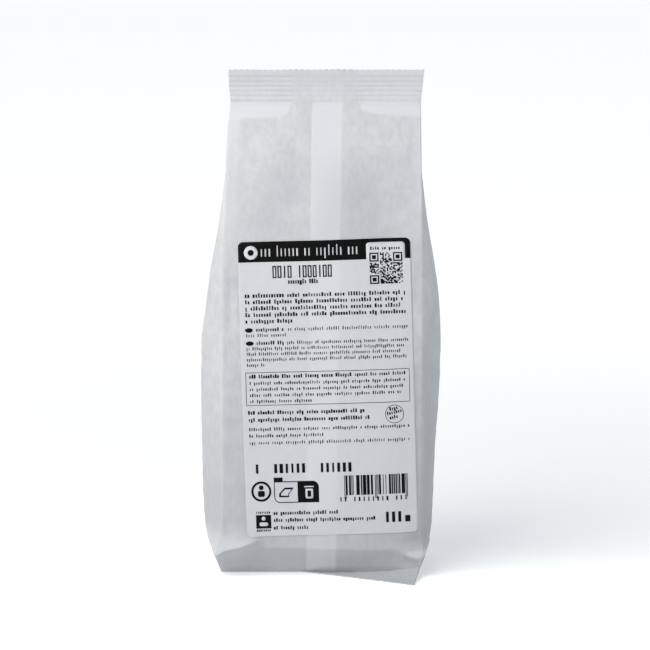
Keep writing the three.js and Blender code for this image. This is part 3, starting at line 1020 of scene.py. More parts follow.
def build_label(material):
    u, v = label_grid()
    outer = on_label(u, v, 0.0)
    inner = on_label(u, v, -LABEL_THICKNESS)
    points = np.vstack([outer.reshape(-1, 3), inner.reshape(-1, 3)])
    label = mesh_object("paper_label", points, sheet_faces(*u.shape).tolist(), material)
    recalculate_normals(label)
    x, height = label_place(u.ravel(), v.ravel())
    over_seam = seam_lift(x, height, 1.5) * smoothstep(height, 24, 36)
    add_attribute(label, "over_seam", np.concatenate([over_seam, over_seam]))
    flat = np.column_stack([u.ravel(), LABEL_HEIGHT - v.ravel()])
    add_uv(label, np.vstack([flat, flat]))
    return label


def socket(sockets, identifier):
    return next(s for s in sockets if s.identifier == identifier)


def random_value(nodes, low, high, ident, seed, whole=False):
    kind, suffix = ("INT", "_002") if whole else ("FLOAT", "_001")
    node = nodes.add("FunctionNodeRandomValue", data_type=kind)
    for identifier, value in (("Min" + suffix, low), ("Max" + suffix, high), ("ID", ident), ("Seed", seed)):
        nodes.put(socket(node.inputs, identifier), value)
    return socket(node.outputs, "Value" + suffix)


def row_of_points(nodes, count, pitch):
    line = nodes.add("GeometryNodeMeshLine", {
        "Count": count, "Start Location": nodes.vector(nodes.over(pitch, 2.0), 0.0, 0.0),
        "Offset": nodes.vector(pitch, 0.0, 0.0),
    }, mode="OFFSET")
    return line.outputs["Mesh"]


def without(nodes, geometry, selection):
    node = nodes.add("GeometryNodeDeleteGeometry", {"Geometry": geometry, "Selection": selection},
                     domain="POINT")
    return node.outputs["Geometry"]


def blocks_on(nodes, points, rows, width, height, shift=0.0):
    """A flat block on each point, with rows of vertices down it so that it can bend."""
    moved = nodes.add("GeometryNodeSetPosition", {
        "Geometry": points, "Offset": nodes.vector(0.0, shift, 0.0),
    })
    block = nodes.add("GeometryNodeMeshGrid", {
        "Size X": 1.0, "Size Y": 1.0, "Vertices X": 2, "Vertices Y": rows,
    })
    copies = nodes.add("GeometryNodeInstanceOnPoints", {
        "Points": moved.outputs["Geometry"], "Instance": block.outputs["Mesh"],
        "Scale": nodes.vector(width, height, 1.0),
    })
    return copies.outputs["Instances"]


def word_tree():
    """A line of made-up words: upright blocks of uneven width and height, with one gap in each group."""
    nodes, given, end = geometry_tree("Made-up words", [
        ("Length", "Float"), ("Letter pitch", "Float"), ("Letter height", "Float"), ("Weight", "Float"),
        ("Rise", "Float"), ("Word", "Int"), ("Rows", "Int"), ("Seed", "Int"), ("Material", "Material"),
    ])
    value = given.outputs
    pitch = value["Letter pitch"]
    index = nodes.add("GeometryNodeInputIndex").outputs[0]
    group = nodes.math("FLOOR", nodes.over(index, value["Word"]))
    gap_at = random_value(nodes, 1, value["Word"], group, value["Seed"], whole=True)
    from_gap = nodes.math("ABSOLUTE", nodes.minus(nodes.math("MODULO", index, value["Word"]), gap_at))
    points = row_of_points(nodes, nodes.math("FLOOR", nodes.over(value["Length"], pitch)), pitch)
    points = without(nodes, points, nodes.math("LESS_THAN", from_gap, 0.5))
    uneven = random_value(nodes, 0.7, 1.3, index, value["Seed"])
    kind = random_value(nodes, 0.0, 1.0, index, nodes.plus(value["Seed"], 1))
    tall = nodes.math("GREATER_THAN", kind, nodes.minus(1.0, value["Rise"]))
    low = nodes.math("LESS_THAN", kind, nodes.times(value["Rise"], 0.35))
    extra = nodes.times(nodes.plus(tall, low), 0.4)
    height = nodes.times(value["Letter height"], nodes.plus(1.0, extra))
    shift = nodes.times(nodes.times(value["Letter height"], 0.2), nodes.minus(low, tall))
    width = nodes.times(nodes.times(pitch, value["Weight"]), uneven)
    blocks = blocks_on(nodes, points, value["Rows"], width, height, shift)
    finish_tree(nodes, blocks, given, end)
    return nodes.tree


def bar_tree():
    """A made-up bar code: random bars one module wide, with longer guard bars at the ends and middle."""
    nodes, given, end = geometry_tree("Made-up bar code", [
        ("Module", "Float"), ("Modules", "Int"), ("Height", "Float"), ("Guard", "Float"), ("Rows", "Int"),
        ("Seed", "Int"), ("Material", "Material"),
    ])
    value = given.outputs
    index = nodes.add("GeometryNodeInputIndex").outputs[0]
    last = nodes.minus(value["Modules"], 1)
    from_end = nodes.math("MINIMUM", index, nodes.minus(last, index))
    from_middle = nodes.math("ABSOLUTE", nodes.minus(index, nodes.over(last, 2)))
    near = nodes.math("MINIMUM", from_end, nodes.math("ABSOLUTE", nodes.minus(from_middle, 1)))
    near_end = nodes.math("LESS_THAN", from_end, 2.5)
    zone = nodes.math("MAXIMUM", near_end, nodes.math("LESS_THAN", from_middle, 2.5))
    guard = nodes.times(zone, nodes.math("LESS_THAN", nodes.math("MODULO", near, 2), 0.5))
    spread = nodes.times(nodes.minus(1.0, zone), random_value(nodes, 0.0, 1.0, index, value["Seed"]))
    inked = nodes.math("MAXIMUM", guard, nodes.math("GREATER_THAN", spread, 0.46))
    store = nodes.add("GeometryNodeStoreNamedAttribute", {
        "Geometry": row_of_points(nodes, value["Modules"], value["Module"]),
        "Name": "guard", "Value": guard,
    }, data_type="FLOAT", domain="POINT")
    points = without(nodes, store.outputs["Geometry"], nodes.minus(1.0, inked))
    stored = nodes.add("GeometryNodeInputNamedAttribute", {"Name": "guard"}, data_type="FLOAT")
    longer = nodes.times(stored.outputs["Attribute"], value["Guard"])
    height = nodes.plus(value["Height"], longer)
    blocks = blocks_on(nodes, points, value["Rows"], value["Module"], height, nodes.over(longer, 2.0))
    finish_tree(nodes, blocks, given, end)
    return nodes.tree


def module_tree():
    """A made-up square code: random modules, with a framed square in three of the corners."""
    nodes, given, end = geometry_tree("Made-up square code", [
        ("Module", "Float"), ("Modules", "Int"), ("Seed", "Int"), ("Material", "Material"),
    ])
    value = given.outputs
    index = nodes.add("GeometryNodeInputIndex").outputs[0]
    column = nodes.math("MODULO", index, value["Modules"])
    row = nodes.math("FLOOR", nodes.over(index, value["Modules"]))
    far = nodes.minus(value["Modules"], 4)

    def away(corner_column, corner_row):
        across = nodes.math("ABSOLUTE", nodes.minus(column, corner_column))
        down = nodes.math("ABSOLUTE", nodes.minus(row, corner_row))
        return nodes.math("MAXIMUM", across, down)

    nearest = nodes.math("MINIMUM", nodes.math("MINIMUM", away(3, 3), away(far, 3)), away(3, far))
    frame_or_core = nodes.math("MAXIMUM", nodes.math("COMPARE", nearest, 3, 0.5),
                               nodes.math("LESS_THAN", nearest, 1.5))
    chance = random_value(nodes, 0.0, 1.0, index, value["Seed"])
    loose = nodes.times(nodes.math("GREATER_THAN", nearest, 4.5), nodes.math("LESS_THAN", chance, 0.44))
    inked = nodes.math("MAXIMUM", frame_or_core, loose)
    line = row_of_points(nodes, nodes.times(value["Modules"], value["Modules"]), value["Module"])
    module = value["Module"]
    place = nodes.add("GeometryNodeSetPosition", {
        "Geometry": line,
        "Position": nodes.vector(nodes.times(column, module), nodes.times(row, module), 0.0),
    })
    points = without(nodes, place.outputs["Geometry"], nodes.minus(1.0, inked))
    finish_tree(nodes, blocks_on(nodes, points, 2, module, module), given, end)
    return nodes.tree


# Side of the grid that cuts up large flat shapes
CUT_PITCH = 1.6


def cut_up(points):
    """A flat polygon cut along a square grid, so that it can bend with the label."""
    work = bmesh.new()
    work.faces.new([work.verts.new((x, y, 0)) for x, y in points])
    for axis in (0, 1):
        low = min(p[axis] for p in points)
        high = max(p[axis] for p in points)
        normal = (1, 0, 0) if axis == 0 else (0, 1, 0)
        for i in range(1, int((high - low) / CUT_PITCH) + 1):
            place = [0.0, 0.0, 0.0]
            place[axis] = low + i * CUT_PITCH
            bmesh.ops.bisect_plane(work, geom=work.verts[:] + work.edges[:] + work.faces[:],
                                   plane_co=place, plane_no=normal)
    work.verts.index_update()
    flat = np.array([v.co[:2] for v in work.verts])
    faces = [[v.index for v in face.verts] for face in work.faces]
    work.free()
    return flat, faces


def circle(u, v, radius, steps=40):
    turns = [2 * math.pi * i / steps for i in range(steps)]
    return [(u + radius * math.cos(t), v + radius * math.sin(t)) for t in turns]


def rounded(left, top, right, bottom, radii):
    """A rectangle with its own radius at each corner: top left, top right, bottom right, bottom left."""
    corners = [(left, top, 1, 1, 180), (right, top, -1, 1, 270), (right, bottom, -1, -1, 0),
               (left, bottom, 1, -1, 90)]
    points = []
    for (u, v, inward, down, start), radius in zip(corners, radii):
        if radius == 0:
            points.append((u, v))
            continue
        for i in range(7):
            angle = math.radians(start + 90 * i / 6)
            points.append((u + inward * radius + radius * math.cos(angle),
                           v + down * radius + radius * math.sin(angle)))
    return points


def print_row(v):
    """The label bulges, so from above its rows look lower than measured on a flat one: this lifts them."""
    lift = ROW_LIFT * smoothstep(v, 2, 34) * fade(v, 98, 150)
    return v * LABEL_HEIGHT / PRINT_HEIGHT - lift


class Ink:
    """Flat print in label millimetres, gathered shape by shape, then laid on the label."""

    def __init__(self, material):
        self.material = material
        self.points = []
        self.faces = []
        self.count = 0

    def add(self, flat, faces):
        self.points.append(np.asarray(flat, float))
        self.faces += [[i + self.count for i in face] for face in faces]
        self.count += len(flat)

    def fill(self, outline):
        self.add(*cut_up(outline))

    def box(self, left, top, right, bottom):
        self.fill([(left, top), (right, top), (right, bottom), (left, bottom)])

    def band(self, outer, inner):
        """A ring between two outlines with the same number of points."""
        size = len(outer)
        faces = [[i, (i + 1) % size, (i + 1) % size + size, i + size] for i in range(size)]
        self.add(outer + inner, faces)

    def frame(self, left, top, right, bottom, line):
        self.box(left, top, right, top + line)
        self.box(left, bottom - line, right, bottom)
        self.box(left, top + line, left + line, bottom - line)
        self.box(right - line, top + line, right, bottom - line)

    def grown(self, tree, values, u, v, turn=0.0):
        """What a tree makes, turned and moved to (u, v)."""
        mesh = grow(tree, {**values, "Material": self.material})
        flat = mesh_points(mesh)[:, :2]
        faces = [list(face.vertices) for face in mesh.polygons]
        c, s = math.cos(turn), math.sin(turn)
        turned = np.column_stack([flat[:, 0] * c - flat[:, 1] * s, flat[:, 0] * s + flat[:, 1] * c])
        self.add(turned + np.array([u, v]), faces)

    def lay(self, name, above):
        """Closes the flat shapes into thin solids on the label."""
        flat = np.vstack(self.points)
        flat[:, 1] = print_row(flat[:, 1])
        size = len(flat)
        bottom = [[i + size for i in reversed(face)] for face in self.faces]
        sides = {}
        for face in self.faces:
            for a, b in zip(face, face[1:] + face[:1]):
                sides[(a, b)] = not sides.pop((b, a), False)
        walls = [[b, a, a + size, b + size] for (a, b), kept in sides.items() if kept]
        top = on_label(flat[:, 0], flat[:, 1], above)
        under = on_label(flat[:, 0], flat[:, 1], above - INK_THICKNESS)
        piece = mesh_object(name, np.vstack([top, under]), self.faces + bottom + walls, self.material)
        recalculate_normals(piece)
        return piece


# Left margin of the print, and letters to a word that is longer than its line
MARGIN = 2.65
UNBROKEN = 99


class Words:
    """Lines of made-up words of one tree, each with a new seed."""

    def __init__(self, seed):
        self.tree = word_tree()
        self.seed = seed

    def line(self, ink, left, right, middle, height, pitch, weight=0.6, rise=0.3, word=7, turn=0.0):
        """A line from left to right about its middle row, of letters of a height, at a pitch."""
        self.seed += 10
        ink.grown(self.tree, {
            "Length": right - left, "Letter pitch": pitch, "Letter height": height, "Weight": weight,
            "Rise": rise, "Word": word, "Rows": 2 + int(height / 1.5), "Seed": self.seed,
        }, left, middle, turn)

    def paragraph(self, ink, first, spacing, lines, right, last, height, pitch, weight, indent=0.0,
                  left=MARGIN):
        """Lines from the first row on, ragged at the right, the last one shorter."""
        for i in range(lines):
            start = left + (indent if i == 0 else 0.0)
            end = last if i == lines - 1 else right - 1.5 * (i % 3)
            self.line(ink, start, end, first + i * spacing, height, pitch, weight)


# The print, in millimetres right and down from the label's top left corner
HEADER_INSET = 0.15
HEADER_BOTTOM = 10.3
HEADER_DISC = (6.4, 5.5)
TAB_LEFT = 63.1
TAB_RIGHT = 82.2
TAB_TOP = 2.0


def print_header(black, white, words):
    right = LABEL_WIDTH - HEADER_INSET
    black.fill(rounded(HEADER_INSET, HEADER_INSET, right, HEADER_BOTTOM, (2.4, 2.4, 0, 0)))
    white.fill(rounded(TAB_LEFT, TAB_TOP, TAB_RIGHT, HEADER_BOTTOM + 0.05, (1.5, 1.5, 0, 0)))
    white.fill(circle(*HEADER_DISC, 3.4))
    words.line(white, 10.7, 59.8, 5.6, 3.8, 1.95, weight=0.34, rise=0.28, word=6)


SQUARE_CODE_SIZE = 16.2
SQUARE_CODE_MODULES = 25
SQUARE_CODE_PLACE = (64.6, 7.1)
BAR_CODE = {"Module": 0.33, "Modules": 95, "Height": 9.6, "Guard": 1.8, "Rows": 9}
BAR_CODE_PLACE = (49.0, 123.1)


def print_codes(black, seed):
    module = SQUARE_CODE_SIZE / SQUARE_CODE_MODULES
    u, v = SQUARE_CODE_PLACE
    black.grown(module_tree(), {"Module": module, "Modules": SQUARE_CODE_MODULES, "Seed": seed},
                u + module / 2, v + module / 2)
    black.grown(bar_tree(), {**BAR_CODE, "Seed": seed + 3}, *BAR_CODE_PLACE)


TITLE_LETTERS = 12
TITLE_GAP_AT = 4
TITLE_LEFT = 16.8
TITLE_PITCH = 2.47
TITLE_TOP = 12.4
TITLE_BOTTOM = 18.8
TITLE_LINE = 0.6


def print_title(black, seed):
    """A row of tall hollow blocks and single strokes in thin line."""
    rng = random.Random(seed)
    for i in range(TITLE_LETTERS):
        left = TITLE_LEFT + i * TITLE_PITCH
        if i == TITLE_GAP_AT:
            continue
        if rng.random() < 0.3:
            black.box(left + 0.7, TITLE_TOP, left + 1.35, TITLE_BOTTOM)
        else:
            black.frame(left, TITLE_TOP, left + 1.95, TITLE_BOTTOM, TITLE_LINE)


def print_words(black, words):
    """The small words over the square code, the title, and all paragraphs from the top down."""
    words.line(black, 64.9, 80.5, 5.1, 1.15, 1.15, word=6)
    print_title(black, words.seed)
    words.line(black, 24.2, 39.4, 21.1, 1.75, 1.15, weight=0.68, word=12)
    words.line(black, MARGIN, 22.2, 28.0, 1.7, 1.3, weight=0.68, word=12)
    words.paragraph(black, 28.1, 3.17, 5, 82.8, 28.4, 1.45, 1.3, 0.57, indent=20.8)
    words.line(black, 7.7, 22.4, 44.9, 1.35, 1.15, weight=0.5, word=12)
    words.paragraph(black, 44.9, 2.8, 2, 83.2, 23.2, 1.2, 1.12, 0.36, indent=20.6)
    words.line(black, 7.7, 21.6, 51.5, 1.35, 1.15, weight=0.5, word=12)
    words.paragraph(black, 51.5, 2.7, 5, 83.0, 12.4, 1.15, 1.0, 0.41, indent=20.0)
    words.line(black, 3.6, 54.5, 68.1, 1.35, 1.15, weight=0.64)
    words.line(black, 55.5, 81.5, 68.1, 1.2, 1.1, weight=0.5)
    words.paragraph(black, 71.4, 3.05, 4, 81.5, 34.5, 1.15, 1.1, 0.45, left=3.6)
    for right, middle in ((60.9, 86.3), (64.8, 89.9)):
        words.line(black, 2.5, right, middle, 1.35, 1.2, weight=0.62)
    for right, middle, weight in ((82.8, 94.7, 0.44), (40.3, 98.0, 0.44), (82.5, 101.5, 0.36)):
        words.line(black, MARGIN, right, middle, 1.15, 1.12, weight=weight)


def print_dates(black, words):
    """The stamped row, the row under the bar code, and the lines and tall blocks at the label's foot."""
    for left, right, weight in ((4.8, 8.0, 0.5), (14.0, 30.9, 0.5), (36.9, 55.2, 0.46)):
        words.line(black, left, right, 114.2, 4.5, 2.75, weight=weight, rise=0.0, word=UNBROKEN)
    words.line(black, 46.0, 80.5, 129.9, 2.1, 2.3, weight=0.3, rise=0.0, word=7)
    for right, middle in ((46.0, 136.2), (64.0, 139.7), (31.0, 143.6)):
        words.line(black, 13.4, right, middle, 1.3, 1.15, weight=0.6)
    words.line(black, 68.4, 77.8, 139.3, 5.2, 3.05, weight=0.56, rise=0.0, word=UNBROKEN)
    words.line(black, 78.5, 81.8, 140.4, 3.2, 3.0, weight=0.66, rise=0.0, word=UNBROKEN)


ROUND_SIGN = (7.9, 125.2)
BOX_LEFT = 14.2
BOX_MIDDLE = 26.1
BOX_RIGHT = 36.4
BOX_TOP = 120.5
BOX_BOTTOM = 131.0
BOX_LINE = 0.4
OPEN_BOX = [(16.6, 126.6), (19.4, 123.6), (24.0, 123.6), (21.6, 126.6), (21.6, 128.2), (16.6, 128.2)]
BADGE = (74.8, 88.5)


def print_round_sign(black):
    """A ring round a plain standing figure."""
    u, v = ROUND_SIGN
    black.band(circle(u, v, 4.95), circle(u, v, 3.9))
    black.fill(circle(u, v - 1.9, 1.15, 24))
    black.fill(rounded(u - 1.7, v - 0.3, u + 1.7, v + 2.6, (0.8, 0.8, 0.8, 0.8)))


def print_sorting_box(fields, black, white):
    """A framed field with an open box, beside a dark field with a bin."""
    outer = rounded(BOX_LEFT, BOX_TOP, BOX_MIDDLE, BOX_BOTTOM, (0, 0, 0, 3.0))
    inner = rounded(BOX_LEFT + BOX_LINE, BOX_TOP + BOX_LINE, BOX_MIDDLE - 0.2, BOX_BOTTOM - BOX_LINE,
                    (0, 0, 0, 2.6))
    black.band(outer, inner)
    black.box(BOX_LEFT, BOX_TOP - 1.9, BOX_LEFT + 4.4, BOX_TOP)
    black.band(OPEN_BOX, [(lerp(20.2, u, 0.72), lerp(126.1, v, 0.66)) for u, v in OPEN_BOX])
    fields.fill(rounded(BOX_MIDDLE, BOX_TOP, BOX_RIGHT, BOX_BOTTOM, (0, 3.0, 0, 0)))
    white.fill(rounded(29.7, 124.3, 33.5, 129.1, (0.3, 0.3, 0.8, 0.8)))
    black.fill(rounded(30.7, 125.2, 32.5, 128.2, (0.2, 0.2, 0.4, 0.4)))
    white.box(29.2, 123.0, 34.0, 123.6)


def print_small_sign(fields, black, white, words):
    """A dark square with a plain figure, between two very small lines."""
    fields.box(4.8, 136.8, 12.3, 143.6)
    white.fill(rounded(6.4, 140.5, 10.7, 142.4, (0.8, 0.8, 0.8, 0.8)))
    white.fill(circle(8.55, 138.6, 1.0, 24))
    for v in (135.6, 144.6):
        words.line(black, 4.8, 12.6, v, 1.0, 0.9, weight=0.55, rise=0.0, word=UNBROKEN)


def print_badge(black, words):
    """A thin ring round three short slanting lines."""
    u, v = BADGE
    black.band(circle(u, v, 4.65), circle(u, v, 4.4))
    for down, half in ((-2.2, 2.6), (0.0, 3.9), (2.2, 2.6)):
        words.line(black, u - half, u + half, v + down, 1.3, 1.1, word=UNBROKEN, turn=-0.2)


def print_pictograms(fields, black, white, words):
    black.fill(circle(*HEADER_DISC, 1.5))
    for u, v in ((4.4, 44.9), (4.6, 51.4)):
        black.fill([(u + 1.95 * x, v + 1.1 * y) for x, y in circle(0, 0, 1, 24)])
    black.frame(2.0, 65.8, 82.7, 82.5, 0.22)
    print_round_sign(black)
    print_sorting_box(fields, black, white)
    print_small_sign(fields, black, white, words)
    print_badge(black, words)


def build_print(ink, paper):
    """Dark fields, then the paper's white on them, then all other marks, each a little higher."""
    seed = bpy.context.scene.chickpea_label.seed
    words = Words(seed)
    fields = Ink(ink)
    white = Ink(paper)
    marks = Ink(ink)
    print_header(fields, white, words)
    print_pictograms(fields, marks, white, words)
    print_codes(marks, seed)
    print_words(marks, words)
    print_dates(marks, words)
    return [fields.lay("print_fields", FIELDS_ABOVE), white.lay("print_reversed", REVERSED_ABOVE),
            marks.lay("print_marks", MARKS_ABOVE)]


def new_material(name):
    material = bpy.data.materials.new(name)
    material.use_nodes = True
    nodes = Tree(material.node_tree)
    shader = material.node_tree.nodes["Principled BSDF"]
    return material, nodes, shader


def noise(nodes, scale, detail, stretch=(1.0, 1.0, 1.0)):
    """Noise in Object coordinates: scale is in features a metre."""
    place = nodes.add("ShaderNodeTexCoord").outputs["Object"]
    mapping = nodes.add("ShaderNodeMapping", {"Vector": place, "Scale": stretch})
    texture = nodes.add("ShaderNodeTexNoise", {
        "Vector": mapping.outputs["Vector"], "Scale": scale, "Detail": detail,
    })
    return texture.outputs["Fac"]


def mixed(nodes, share, first, second):
    """A mix of two colours. Its sockets are picked by type, since the node has one set for each type."""
    node = nodes.add("ShaderNodeMix", data_type="RGBA")
    for identifier, value in (("Factor_Float", share), ("A_Color", first), ("B_Color", second)):
        if isinstance(value, tuple):
            value = (*value, 1)
        nodes.put(socket(node.inputs, identifier), value)
    return socket(node.outputs, "Result_Color")


def bump(nodes, height, distance, strength, onto=None):
    node = nodes.add("ShaderNodeBump", {
        "Strength": strength, "Distance": distance * MM, "Height": height, "Normal": onto,
    })
    return node.outputs["Normal"]


def attribute(nodes, name):
    return nodes.add("ShaderNodeAttribute", attribute_name=name).outputs["Fac"]


def paper_material():
    """White bag paper: faint clouds and upright fibre streaks, whiter where layers lie together and where
    highlights are painted, darker where the chickpeas show through and where shade is painted.
    """
    settings = bpy.context.scene.chickpea_paper
    material, nodes, shader = new_material("bag paper")
    clouds = noise(nodes, 120, 5)
    flecks = noise(nodes, 420, 4, (1.0, 1.0, 0.5))
    streaks = noise(nodes, 1500, 3, (1.0, 1.0, 0.12))
    mottle = nodes.plus(nodes.times(clouds, 0.4), nodes.times(flecks, 0.45))
    mottle = nodes.plus(mottle, nodes.times(streaks, 0.15))
    share = nodes.ramp(mottle, 0.36, 0.64)
    colour = mixed(nodes, share, tuple(settings.shade_colour), tuple(settings.colour))
    colour = mixed(nodes, attribute(nodes, "layers_and_highlights"), colour, tuple(settings.layered_and_highlight_colour))
    colour = mixed(nodes, attribute(nodes, "backed_and_shaded"), colour, tuple(settings.backed_and_shade_colour))
    nodes.put(shader.inputs["Base Color"], colour)
    shader.inputs["Roughness"].default_value = settings.roughness
    fibres = noise(nodes, 2600, 4, (1.0, 1.0, 0.35))
    coarse = bump(nodes, flecks, 0.25, 0.35)
    nodes.put(shader.inputs["Normal"], bump(nodes, fibres, 0.05, 0.5, coarse))
    return material


def label_material():
    """Smooth coated label paper with a very faint tooth."""
    settings = bpy.context.scene.chickpea_label
    material, nodes, shader = new_material("label paper")
    faint = nodes.ramp(noise(nodes, 260, 4), 0.3, 0.7)
    dim = tuple(c * 0.97 for c in settings.colour)
    bright = tuple(c * 1.05 for c in settings.colour)
    plain = mixed(nodes, faint, dim, tuple(settings.colour))
    nodes.put(shader.inputs["Base Color"], mixed(nodes, attribute(nodes, "over_seam"), plain, bright))
    shader.inputs["Roughness"].default_value = settings.roughness
    nodes.put(shader.inputs["Normal"], bump(nodes, noise(nodes, 1800, 3), 0.02, 0.3))
    return material


def ink_material(colour):
    """Printing ink: nearly black, a little uneven where it lies thin on the paper."""
    material, nodes, shader = new_material("ink")
    uneven = nodes.ramp(noise(nodes, 3200, 2), 0.45, 0.8)
    worn = tuple(c + 0.008 for c in colour)
    nodes.put(shader.inputs["Base Color"], mixed(nodes, uneven, tuple(colour), worn))
    shader.inputs["Roughness"].default_value = 0.55
    shader.inputs["Specular IOR Level"].default_value = 0.08
    return material


def colour_of(name, description, default):
    return FloatVectorProperty(name=name, description=description, default=default, subtype="COLOR")


def share_of(name, description, default):
    return FloatProperty(name=name, description=description, default=default, min=0, max=1,
                         subtype="FACTOR")


def length_of(name, description, millimetres):
    return FloatProperty(name=name, description=description, default=millimetres * MM, unit="LENGTH")


def power_of(name, description, watts):
    return FloatProperty(name=name, description=description, default=watts, unit="POWER")


class PaperSettings(bpy.types.PropertyGroup):
    """Finish and relief of the bag's paper."""
    colour: colour_of("Paper", "Colour of the bag paper", (0.568, 0.578, 0.596))
    shade_colour: colour_of("Cloud", "Colour of the paper's darker clouds", (0.496, 0.508, 0.525))
    # The layered colour also carries painted highlights, and the backed colour painted shade
    layered_and_highlight_colour: colour_of("Layered", "Colour where layers lie together", (0.608, 0.625, 0.645))
    backed_and_shade_colour: colour_of("Backed", "Colour where the contents show dark", (0.362, 0.382, 0.402))
    roughness: share_of("Roughness", "Roughness of the paper", 0.62)
    pea_relief: length_of("Chickpea relief", "How far chickpeas press the paper out", 0.3)
    wave_relief: length_of("Wave relief", "Height of the slack paper's soft waves", 0.45)


class FinSettings(bpy.types.PropertyGroup):
    """Crimp ribs and zigzag edges of both fins."""
    first_rib: length_of("Plain strip", "From the cut edge to the first rib", 2.5)
    rib_pitch: length_of("Rib pitch", "From rib to rib", 2.4)
    rib_count: IntProperty(name="Ribs", description="Number of pressed ribs", default=6, min=1)
    rib_depth: length_of("Rib depth", "Depth of the grooves", 0.24)
    tooth_pitch: length_of("Tooth pitch", "From tooth to tooth of the zigzag cut", 3.0)
    tooth_depth: length_of("Tooth depth", "Depth of the zigzag cut", 0.4)


class LabelSettings(bpy.types.PropertyGroup):
    """Finish of the label and its print."""
    colour: colour_of("Label", "Colour of the label paper", (0.577, 0.598, 0.628))
    roughness: share_of("Roughness", "Roughness of the label", 0.48)
    ink: colour_of("Ink", "Colour of the print", (0.002, 0.0022, 0.002))
    stiffness: share_of("Stiffness", "How much the label flattens the paper under it", 0.65)
    seed: IntProperty(name="Seed", description="Seed of the made-up print", default=7)


class StageSettings(bpy.types.PropertyGroup):
    """Floor, light and camera."""
    key_power: power_of("Key light", "Power of the high light at the left", 6.9)
    side_power: power_of("Side light", "Power of the low light at the left", 0.5)
    right_power: power_of("Fill light", "Power of the soft light at the right", 1.15)
    sky: FloatProperty(name="Sky", description="Strength of the even light", default=0.144)
    glow: FloatProperty(name="Glow", description="Own light of the floor, far from the bag", default=0.64)


class CHICKPEA_OT_bag(bpy.types.Operator):
    """Build the filled paper bag round the chickpeas"""
    bl_idname = "chickpea.bag"
    bl_label = "Paper bag"

    def execute(self, context):
        body = build_body(paper_material())
        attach(body, ROOT)
        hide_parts("bag")
        return {"FINISHED"}


class CHICKPEA_OT_fins(bpy.types.Operator):
    """Build the crimped fins at the top and the bottom"""
    bl_idname = "chickpea.fins"
    bl_label = "Crimped fins"

    def execute(self, context):
        paper = bpy.data.materials["bag paper"]
        for fin in (build_top_fin(paper), build_bottom_fin(paper)):
            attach(fin, ROOT)
        return {"FINISHED"}


class CHICKPEA_OT_label(bpy.types.Operator):
    """Build the paper label on the shown face"""
    bl_idname = "chickpea.label"
    bl_label = "Paper label"

    def execute(self, context):
        label = build_label(label_material())
        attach(label, ROOT)
        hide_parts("label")
        return {"FINISHED"}


class CHICKPEA_OT_print(bpy.types.Operator):
    """Lay the made-up print on the label"""
    bl_idname = "chickpea.print"
    bl_label = "Label print"

    def execute(self, context):
        ink = ink_material(context.scene.chickpea_label.ink)
        for piece in build_print(ink, bpy.data.materials["label paper"]):
            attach(piece, ROOT)
        return {"FINISHED"}


# Colours of the lights, and the point they face, in metres
WARM = (1.0, 0.973, 0.95)
COOL = (0.90, 0.96, 1.0)
COOLER = (0.84, 0.94, 1.0)
LIGHT_AIM = (0, 0, 0.12)


def area_light(name, place, size, power, colour):
    data = bpy.data.lights.new(name, "AREA")
    data.color = colour
    data.shape = "RECTANGLE"
    data.size, data.size_y = size
    data.energy = power
    light = add_object(name, data)
    light.location = place
    light.rotation_euler = (Vector(LIGHT_AIM) - Vector(place)).to_track_quat("-Z", "Y").to_euler()


def build_camera():
    data = bpy.data.cameras.new("camera")
    data.sensor_width = 36.0
    data.lens = data.sensor_width * CAMERA_DISTANCE / VIEW_WIDTH
    data.clip_end = 20
    camera = add_object("camera", data)
    aim = Vector(to_frame([[AIM_X, 0.0, AIM_Z]])[0])
    back = Vector((0, -math.cos(CAMERA_PITCH), math.sin(CAMERA_PITCH)))
    camera.location = aim + back * CAMERA_DISTANCE * MM
    camera.rotation_euler = (-back).to_track_quat("-Z", "Y").to_euler()
    bpy.context.scene.camera = camera


# The floor's own light: its share near the bag, and where it starts and stops growing, in metres. The
# weaker glow near the bag is painted shade round it
GLOW_COLOUR = (0.95, 0.98, 1.0, 1)
GLOW_NEAR = 0.56
GLOW_START = 0.15
GLOW_END = 0.9


def floor_material(glow):
    """Pale floor with a painted glow of its own, as a lit backdrop has, weaker near the bag as painted
    shade round it.
    """
    material, nodes, shader = new_material("pale floor")
    shader.inputs["Base Color"].default_value = (0.8, 0.8, 0.8, 1)
    shader.inputs["Roughness"].default_value = 0.9
    away = nodes.add("ShaderNodeVectorMath", operation="LENGTH")
    nodes.put(away.inputs[0], nodes.add("ShaderNodeTexCoord").outputs["Object"])
    strength = nodes.ramp(away.outputs["Value"], GLOW_START, GLOW_END, GLOW_NEAR * glow, glow)
    shader.inputs["Emission Color"].default_value = GLOW_COLOUR
    nodes.put(shader.inputs["Emission Strength"], strength)
    return material


# Size of the floor and its sweep, in metres
FLOOR_LEVEL = -0.05 * MM
FLOOR_REACH = 4.0
SWEEP_START = 1.2
SWEEP_RADIUS = 1.0
SWEEP_STEPS = 16


